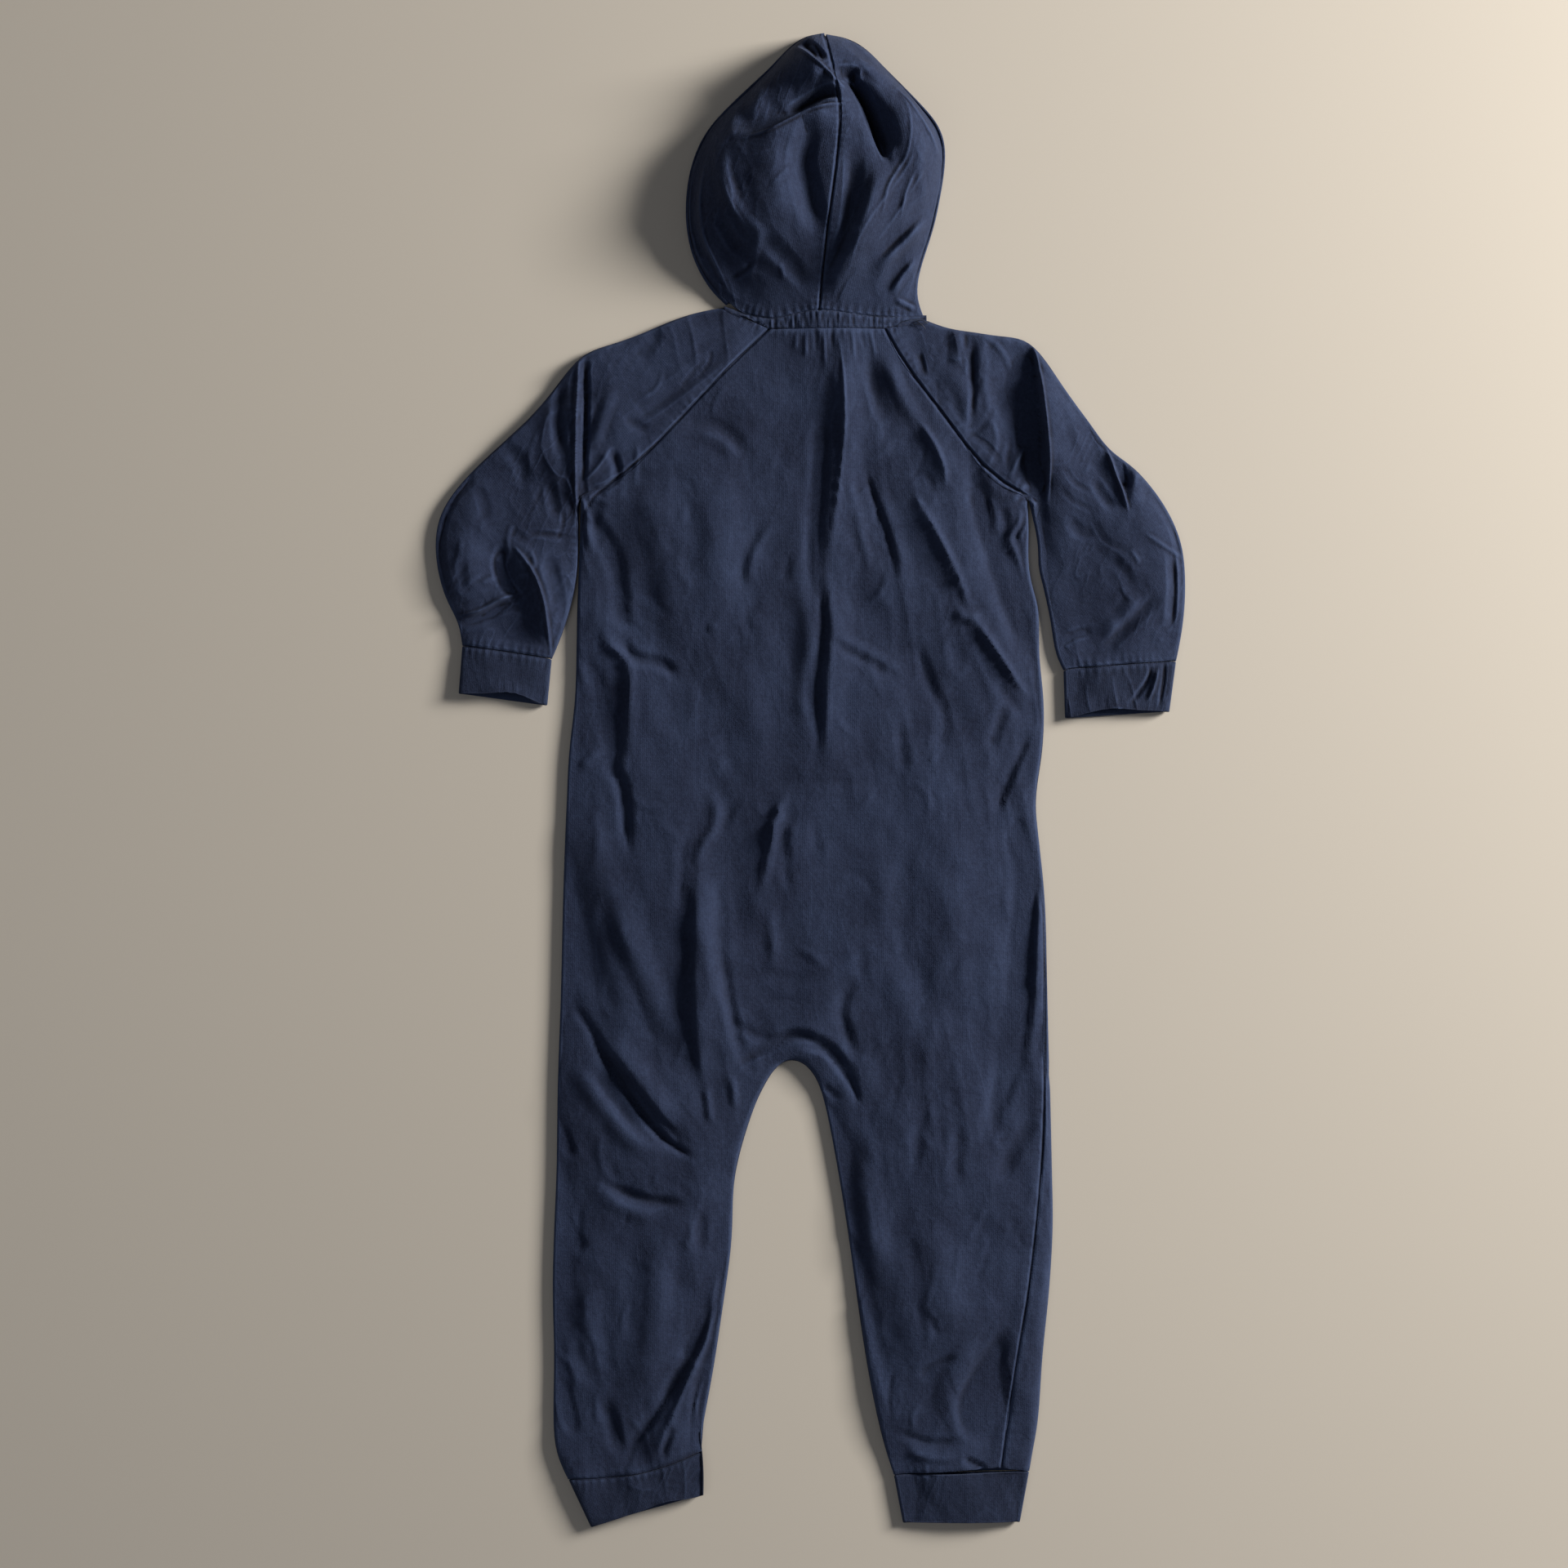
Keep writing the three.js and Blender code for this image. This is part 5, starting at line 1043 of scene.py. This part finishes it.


# %% [markdown]
# Now the pieces. Each one is made, creased, marked for wear, painted highlight and painted shade, given its
# finish, and said to ride on the garment in place of its imported solid. Its flat cut is what a maker would
# have laid on the table: width and length in metres, and area in square metres where it isn't a plain strip.
# "turn" is how far the knit is turned, in degrees, and "finer" how many more times the upper layer is
# divided.

# %% Cloth pieces
Cut = namedtuple("Cut", "node width length area turn slot held finer")
CUTS = [
    Cut("back", 0.345, 0.765, 0.205, 0, "sweat_cloth", "laid", 1),
    Cut("front_left", 0.178, 0.770, 0.100, 0, "sweat_cloth", "laid", 0),
    Cut("front_right", 0.190, 0.770, 0.100, 0, "sweat_cloth", "laid", 1),
    Cut("sleeve_left", 0.245, 0.270, 0.043, -28, "sweat_cloth", "folded", 2),
    Cut("sleeve_right", 0.245, 0.280, 0.043, 24, "sweat_cloth", "folded", 2),
    Cut("hood_left", 0.190, 0.215, 0.030, -8, "sweat_cloth", "folded", 2),
    Cut("hood_right", 0.190, 0.215, 0.027, 8, "sweat_cloth", "folded", 2),
    Cut("sleeve_cuff_left", 0.126, 0.032, None, 4, "cuff_cloth", "folded", 2),
    Cut("sleeve_cuff_right", 0.150, 0.033, None, -4, "cuff_cloth", "folded", 2),
    Cut("leg_cuff_left", 0.172, 0.034, None, 14, "cuff_cloth", "folded", 2),
    Cut("leg_cuff_right", 0.172, 0.034, None, 0, "cuff_cloth", "folded", 2),
    Cut("neck_tape", 0.128, 0.012, None, 90, "neck_tape", "laid", 1),
]
WRAP_FROM = 110  # mm, beyond this the right front wraps round to the back


def off_the_zip(x, y):
    """The fronts follow the relief only where they wrap round to the back."""
    return (x > WRAP_FROM).astype(float)


pieces = {}
for cut in CUTS:
    piece = fine_cloth(f"{cut.node}_cloth", cut.node, cut.finer)
    moved = lay_relief(piece, off_the_zip if cut.node.startswith("front") else None)
    mark_wear_and_shade(piece)
    piece.data.materials.append(knit_material(f"{cut.slot}_{cut.node}", cut.turn, SHADE[cut.slot]))
    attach(piece, "garment")
    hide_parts(cut.node)
    pieces[cut.node] = piece
    reach = (moved.min().round(1), moved.max().round(1))
    print(cut.node, len(piece.data.polygons), "faces, moved by", *reach, "mm")

# %% [markdown]
# A cuff that lies flat gapes a little: its upper layer is drawn up in the middle, and the dark inside
# shows. Only the upper layer near the open edge is moved.

# %% Cuff mouths
Mouth = namedtuple("Mouth", "node start end gape")
MOUTHS = [
    Mouth("sleeve_cuff_left", -222, -176, 3.0),
    Mouth("sleeve_cuff_right", 172, 226, 2.0),
    Mouth("leg_cuff_left", -118, -78, 2.0),
]
MOUTH_DEPTH = 14  # mm from the open edge
MOUTH_RISE = 0.8  # mm
MOUTH_LAYER = (3.2, 4.6)  # mm, heights between which the upper layer begins
HEM_BIN = 3  # mm, width of the steps in which the open edge is found

for mouth in MOUTHS:
    mesh = pieces[mouth.node].data
    points = points_of(mesh)
    x, y, z = points.T
    bins = np.round(x / HEM_BIN)
    hem = np.zeros(len(x))
    for b in np.unique(bins):
        hem[bins == b] = y[bins == b].min()
    across = np.clip((x - mouth.start) / (mouth.end - mouth.start), 0, 1)
    upper = smooth_step(*MOUTH_LAYER, z)
    near_hem = 1 - smooth_step(0, MOUTH_DEPTH, y - hem)
    points[:, 1] += mouth.gape * np.sin(math.pi * across) ** 2 * upper * near_hem
    points[:, 2] += MOUTH_RISE * np.sin(math.pi * across) * upper * near_hem
    move_points(mesh, points)
print(len(MOUTHS), "cuffs gape")

# %% [markdown]
# Where the hood's seam comes down over the crown, both halves turn under at once, and the packed
# solids leave a notch a few millimetres wide. A real seam pulls the two edges together, so here the
# points beside the notch are drawn towards it from both sides.

# %% Crown seam
CROWN_X = 9.75  # mm, place of the seam at the crown
NOTCH_HALF = 2.95  # mm, half of the notch's width
NOTCH_LEFT = 0.2  # mm of it that stays open on each side
NOTCH_PULL = 9  # mm of cloth beside it that gives way
NOTCH_FOOT = (2.5, 4.0)  # mm, heights between which it begins
NOTCH_HEAD = (16.4, 19)  # mm, heights between which it ends
CROWN_FRONT = (480, 492)  # mm along the garment, only the crown's front is drawn in

for node, side in (("hood_left", 1), ("hood_right", -1)):
    mesh = pieces[node].data
    points = points_of(mesh)
    x, y, z = points.T
    inward = side * (CROWN_X - x)
    beside = 1 - smooth_step(NOTCH_HALF, NOTCH_HALF + NOTCH_PULL, inward)
    in_notch = smooth_step(*NOTCH_FOOT, z) * (1 - smooth_step(*NOTCH_HEAD, z)) * smooth_step(*CROWN_FRONT, y)
    pull = np.minimum((NOTCH_HALF - NOTCH_LEFT) * beside * in_notch, np.maximum(inward - NOTCH_LEFT, 0))
    points[:, 0] += side * pull
    move_points(mesh, points)
    print(node, "drawn in by up to", pull.max().round(2), "mm")

# %% [markdown]
# The tape over the neck seam is sewn on while stretched, so it gathers into small ribs when let go.
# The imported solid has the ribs. Here they are made uneven, and the tape's ends and long edges are
# drawn over the cloth beside them, as they are when they are sewn down.

# %% Neck tape ribs
RIB_WOBBLE = 0.22  # mm
RIB_SIZE = dict(across=1.3, along=6.0, seed=31)
FACING_UP = (0.2, 0.8)  # height of a normal, from a rib's side to its top
LEFT_END = (-52, -42)  # mm, where the tape's left end begins
RIGHT_END = (62, 72)
RIGHT_CORNER = (48, 62)  # mm, where it grows wider to the right
TAPE_END = 5.8  # mm that each end reaches further
TAPE_DROP = 0.6  # mm that it sinks there
TAPE_OVERLAP = 0.6  # mm that its long edges reach over the cloth beside them, so no gap shows
TAPE_WIDER = 1.3  # mm more of it at each end, to close the corner

tape = pieces["neck_tape"].data
points, normals = points_of(tape), normals_of(tape)
wobble = value_noise(points[:, 0], points[:, 1], **RIB_SIZE)
points[:, 2] += smooth_step(*FACING_UP, normals[:, 2]) * RIB_WOBBLE * wobble
left_end = 1 - smooth_step(*LEFT_END, points[:, 0])
right_end = smooth_step(*RIGHT_END, points[:, 0])
points += (right_end - left_end)[:, None] * np.array([TAPE_END, 0, 0])
points[:, 2] -= TAPE_DROP * (left_end + right_end)
overlap = TAPE_OVERLAP + TAPE_WIDER * (left_end + smooth_step(*RIGHT_CORNER, points[:, 0]))
points[:, 1] += overlap * np.clip(2 * normals[:, 1], -1, 1)
move_points(tape, points)
print("neck tape", round(np.ptp(points[:, 0])), "mm long")

# %% [markdown]
# The zip lies between the layers, so it gets its real parts but a plain finish. Two woven tapes carry
# a plastic coil. The coil's turns show as two rows of small rounded teeth that alternate.

# %% Plain materials
ZIP_NAVY = (0.016, 0.02, 0.036)
COIL_NAVY = (0.02, 0.024, 0.04)
NICKEL = (0.42, 0.43, 0.45)
THREAD_NAVY = (0.012, 0.016, 0.034)


def plain_material(name, colour, roughness, metallic=0.0):
    material, tree, shader = new_material(name)
    grain = add_node(tree, "ShaderNodeTexNoise", Scale=900.0, Detail=3.0)
    bump_stack(tree, shader, [(grain, 0.2, 0.1)])
    shader.inputs["Base Color"].default_value = (*colour, 1)
    shader.inputs["Roughness"].default_value = roughness
    shader.inputs["Metallic"].default_value = metallic
    return material


tape_material = plain_material("zip_tape", ZIP_NAVY, roughness=0.9)
coil_material = plain_material("zip_coil", COIL_NAVY, roughness=0.45)
metal_material = plain_material("zip_metal", NICKEL, roughness=0.34, metallic=1.0)
thread_material = plain_material("thread", THREAD_NAVY, roughness=0.6)

# %% [markdown]
# Every made piece needs the same last steps: a mesh with its material, a body to ride on, and the packed
# solid that it stands for, if any. Teeth and stitches are many copies of one small ball,
# so a second helper makes them as one mesh, each ball squeezed and turned by its own matrix.

# %% Piece helpers


def add_piece(name, bm, material, nodes=(), body="garment"):
    mesh = bpy.data.meshes.new(name)
    bm.to_mesh(mesh)
    bm.free()
    mesh.materials.append(material)
    mesh.shade_smooth()
    piece = bpy.data.objects.new(name, mesh)
    bpy.context.scene.collection.objects.link(piece)
    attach(piece, body)
    if nodes:
        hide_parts(*nodes)
    return piece


def grains(name, places, sides, material, nodes=()):
    bm = bmesh.new()
    bmesh.ops.create_uvsphere(bm, u_segments=sides[0], v_segments=sides[1], radius=1)
    ball = np.array([(*v.co, 1) for v in bm.verts])
    faces = [[v.index for v in f.verts] for f in bm.faces]
    bm.free()
    corners = np.concatenate([ball @ np.array(place).T for place in places])[:, :3]
    all_faces = [[k * len(ball) + i for i in face] for k in range(len(places)) for face in faces]
    mesh = bpy.data.meshes.new(name)
    mesh.from_pydata(corners.tolist(), [], all_faces)
    bm = bmesh.new()
    bm.from_mesh(mesh)
    return add_piece(name, bm, material, nodes)


# %% [markdown]
# The coil is two rows of plastic loops that lock into each other, so its teeth alternate from side to
# side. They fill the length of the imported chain.

# %% Zip coil
TOOTH_PITCH = 1.5  # mm
TOOTH = (1.05, 0.55, 0.95)  # mm, half sizes
TOOTH_OUT = 0.55  # mm, middle of a tooth from the middle of the zip
TOOTH_SIDES = (8, 5)  # faces round a ball and from pole to pole

coil_middle = (ZIP_BOX[0].z + ZIP_BOX[1].z) / 2 / MM
tooth_shape = Matrix.Diagonal((*(half * MM for half in TOOTH), 1))
teeth = []
for k in range(int((ZIP_TOP - ZIP_BOTTOM) / TOOTH_PITCH * 2) - 1):
    side = 1 if k % 2 else -1
    y = ZIP_BOTTOM + (k + 1) * TOOTH_PITCH / 2
    place = Matrix.Translation(Vector((ZIP_X + side * TOOTH_OUT, y, coil_middle)) * MM)
    teeth.append(place @ tooth_shape)
grains("zip_coil", teeth, TOOTH_SIDES, coil_material, ["zip_chain"])
print(len(teeth), "teeth")

# %% [markdown]
# The tapes are woven flat, and the slider and its puller are cast metal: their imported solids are
# right, and only need edges that are rounded enough to catch the light. The puller turns on its own
# body, so it rides there.

# %% Zip tapes, slider and puller
FLAT_ANGLE = math.radians(2)  # faces that meet flatter than this become one
EDGE_ANGLE = math.radians(40)  # edges sharper than this are rounded
EDGE_ROUNDNESS = 0.6


def rounded_copy(name, node, material, bevel, body="garment"):
    """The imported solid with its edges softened."""
    bm = bmesh.new()
    bm.from_mesh(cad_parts[node].data)
    bmesh.ops.remove_doubles(bm, verts=bm.verts, dist=WELD)
    bmesh.ops.dissolve_limit(bm, angle_limit=FLAT_ANGLE, verts=bm.verts, edges=bm.edges)
    sharp = [e for e in bm.edges if e.is_manifold and e.calc_face_angle(0) > EDGE_ANGLE]
    bmesh.ops.bevel(bm, geom=sharp, offset=bevel * MM, segments=2, profile=EDGE_ROUNDNESS, affect="EDGES",
                    clamp_overlap=True)
    return add_piece(name, bm, material, [node], body)


zip_tapes = [rounded_copy(f"{node}_cloth", node, tape_material, bevel=0.15)
             for node in ("zip_tape_left", "zip_tape_right")]
rounded_copy("slider", "zip_slider", metal_material, bevel=0.2)
rounded_copy("puller", "pull_tab", metal_material, bevel=0.25, body="pull_tab")

# %% [markdown]
# Sewing thread is thin but catches light. Each stitch is a small grain of thread on the finished
# cloth, so its height is read by dropping a ray on it. The neck tape has a row along each edge, and
# the seams show a row deep in their groove.

# %% Stitches
STITCH = dict(step=2.9, length=2.1, thick=0.42)  # mm
STITCH_SIDES = (6, 4)
SUNK = 0.12  # mm, how deep a stitch sits in the cloth
LOOK_AHEAD = 0.5  # mm along the line, to see which way it runs
ABOVE_ALL = 0.2  # m, height from which the ray is dropped
LOWEST_STITCH = 2  # mm, lower than this the ray has missed the upper layer
TAPE_BIN = 4  # mm
TAPE_INSET = 1.3  # mm from the tape's edge to its stitches
graph = bpy.context.evaluated_depsgraph_get()


def height_of_cloth(x, y):
    start = Vector((x * MM, y * MM, ABOVE_ALL))
    _, place, normal, *_ = bpy.context.scene.ray_cast(graph, start, Vector((0, 0, -1)))
    return place.z / MM, normal


def stitch_row(line, step, length, thick):
    parts = np.hypot(*np.diff(line, axis=0).T)
    run = np.concatenate([[0], np.cumsum(parts)])
    made = []
    for at in np.arange(step, run[-1] - step / 2, step):
        x, y = (np.interp(at, run, line[:, k]) for k in (0, 1))
        ax, ay = (np.interp(at + LOOK_AHEAD, run, line[:, k]) for k in (0, 1))
        z, normal = height_of_cloth(x, y)
        if z < LOWEST_STITCH:
            continue
        along = Vector((ax - x, ay - y, 0)).normalized()
        across = normal.cross(along).normalized()
        turn = Matrix((across.cross(normal) * -1, across, normal)).transposed().to_4x4()
        place = Matrix.Translation(Vector((x, y, z - SUNK)) * MM)
        shape = Matrix.Diagonal((length / 2 * MM, thick / 2 * MM, thick / 2 * MM, 1))
        made.append(place @ turn @ shape)
    return made


def tape_edge(inset):
    """A line along the neck tape: its lower edge for an inset above zero, its upper edge below zero."""
    points = points_of(pieces["neck_tape"].data)
    bins = np.round(points[:, 0] / TAPE_BIN)
    pick = np.min if inset > 0 else np.max
    return np.array([(b * TAPE_BIN, pick(points[bins == b, 1]) + inset) for b in np.unique(bins)])[1:-1]


rows = [tape_edge(TAPE_INSET), tape_edge(-TAPE_INSET), raglan_left, raglan_right, side_seam, *cuff_seams]
stitches = [place for line in rows for place in stitch_row(line, **STITCH)]
grains("stitches", stitches, STITCH_SIDES, thread_material)
print(len(stitches), "stitches")

# %% [markdown]
# At the right end of the neck seam the overlock thread has come loose: a few short curls of it.

# %% Loose thread
LOOSE = [
    [(70, 307, 9.5), (73, 309, 10.6), (76, 308.5, 10.4), (78.5, 306, 9.6)],
    [(71, 308, 9.4), (73.5, 306, 10.4), (76, 304.5, 10.2), (77, 302.5, 9.2)],
    [(69, 306, 9.4), (72, 304.6, 10.2), (75, 305.4, 10.6), (79.5, 307.5, 9.2)],
]
THREAD_RADIUS = 0.28  # mm


def thread_piece(name, paths):
    curve = bpy.data.curves.new(name, "CURVE")
    curve.dimensions = "3D"
    curve.bevel_depth = THREAD_RADIUS * MM
    curve.bevel_resolution = 1
    for path in paths:
        spline = curve.splines.new("NURBS")
        spline.points.add(len(path) - 1)
        for point, (x, y, z) in zip(spline.points, path):
            point.co = (x * MM, y * MM, z * MM, 1)
        spline.use_endpoint_u = True
        spline.order_u = 4
    holder = bpy.data.objects.new(name, curve)
    bpy.context.scene.collection.objects.link(holder)
    graph = bpy.context.evaluated_depsgraph_get()
    bm = bmesh.new()
    bm.from_mesh(bpy.data.meshes.new_from_object(holder.evaluated_get(graph)))
    bpy.data.objects.remove(holder)
    return add_piece(name, bm, thread_material)


thread_piece("loose_thread", LOOSE)
print(len(LOOSE), "curls of loose thread")
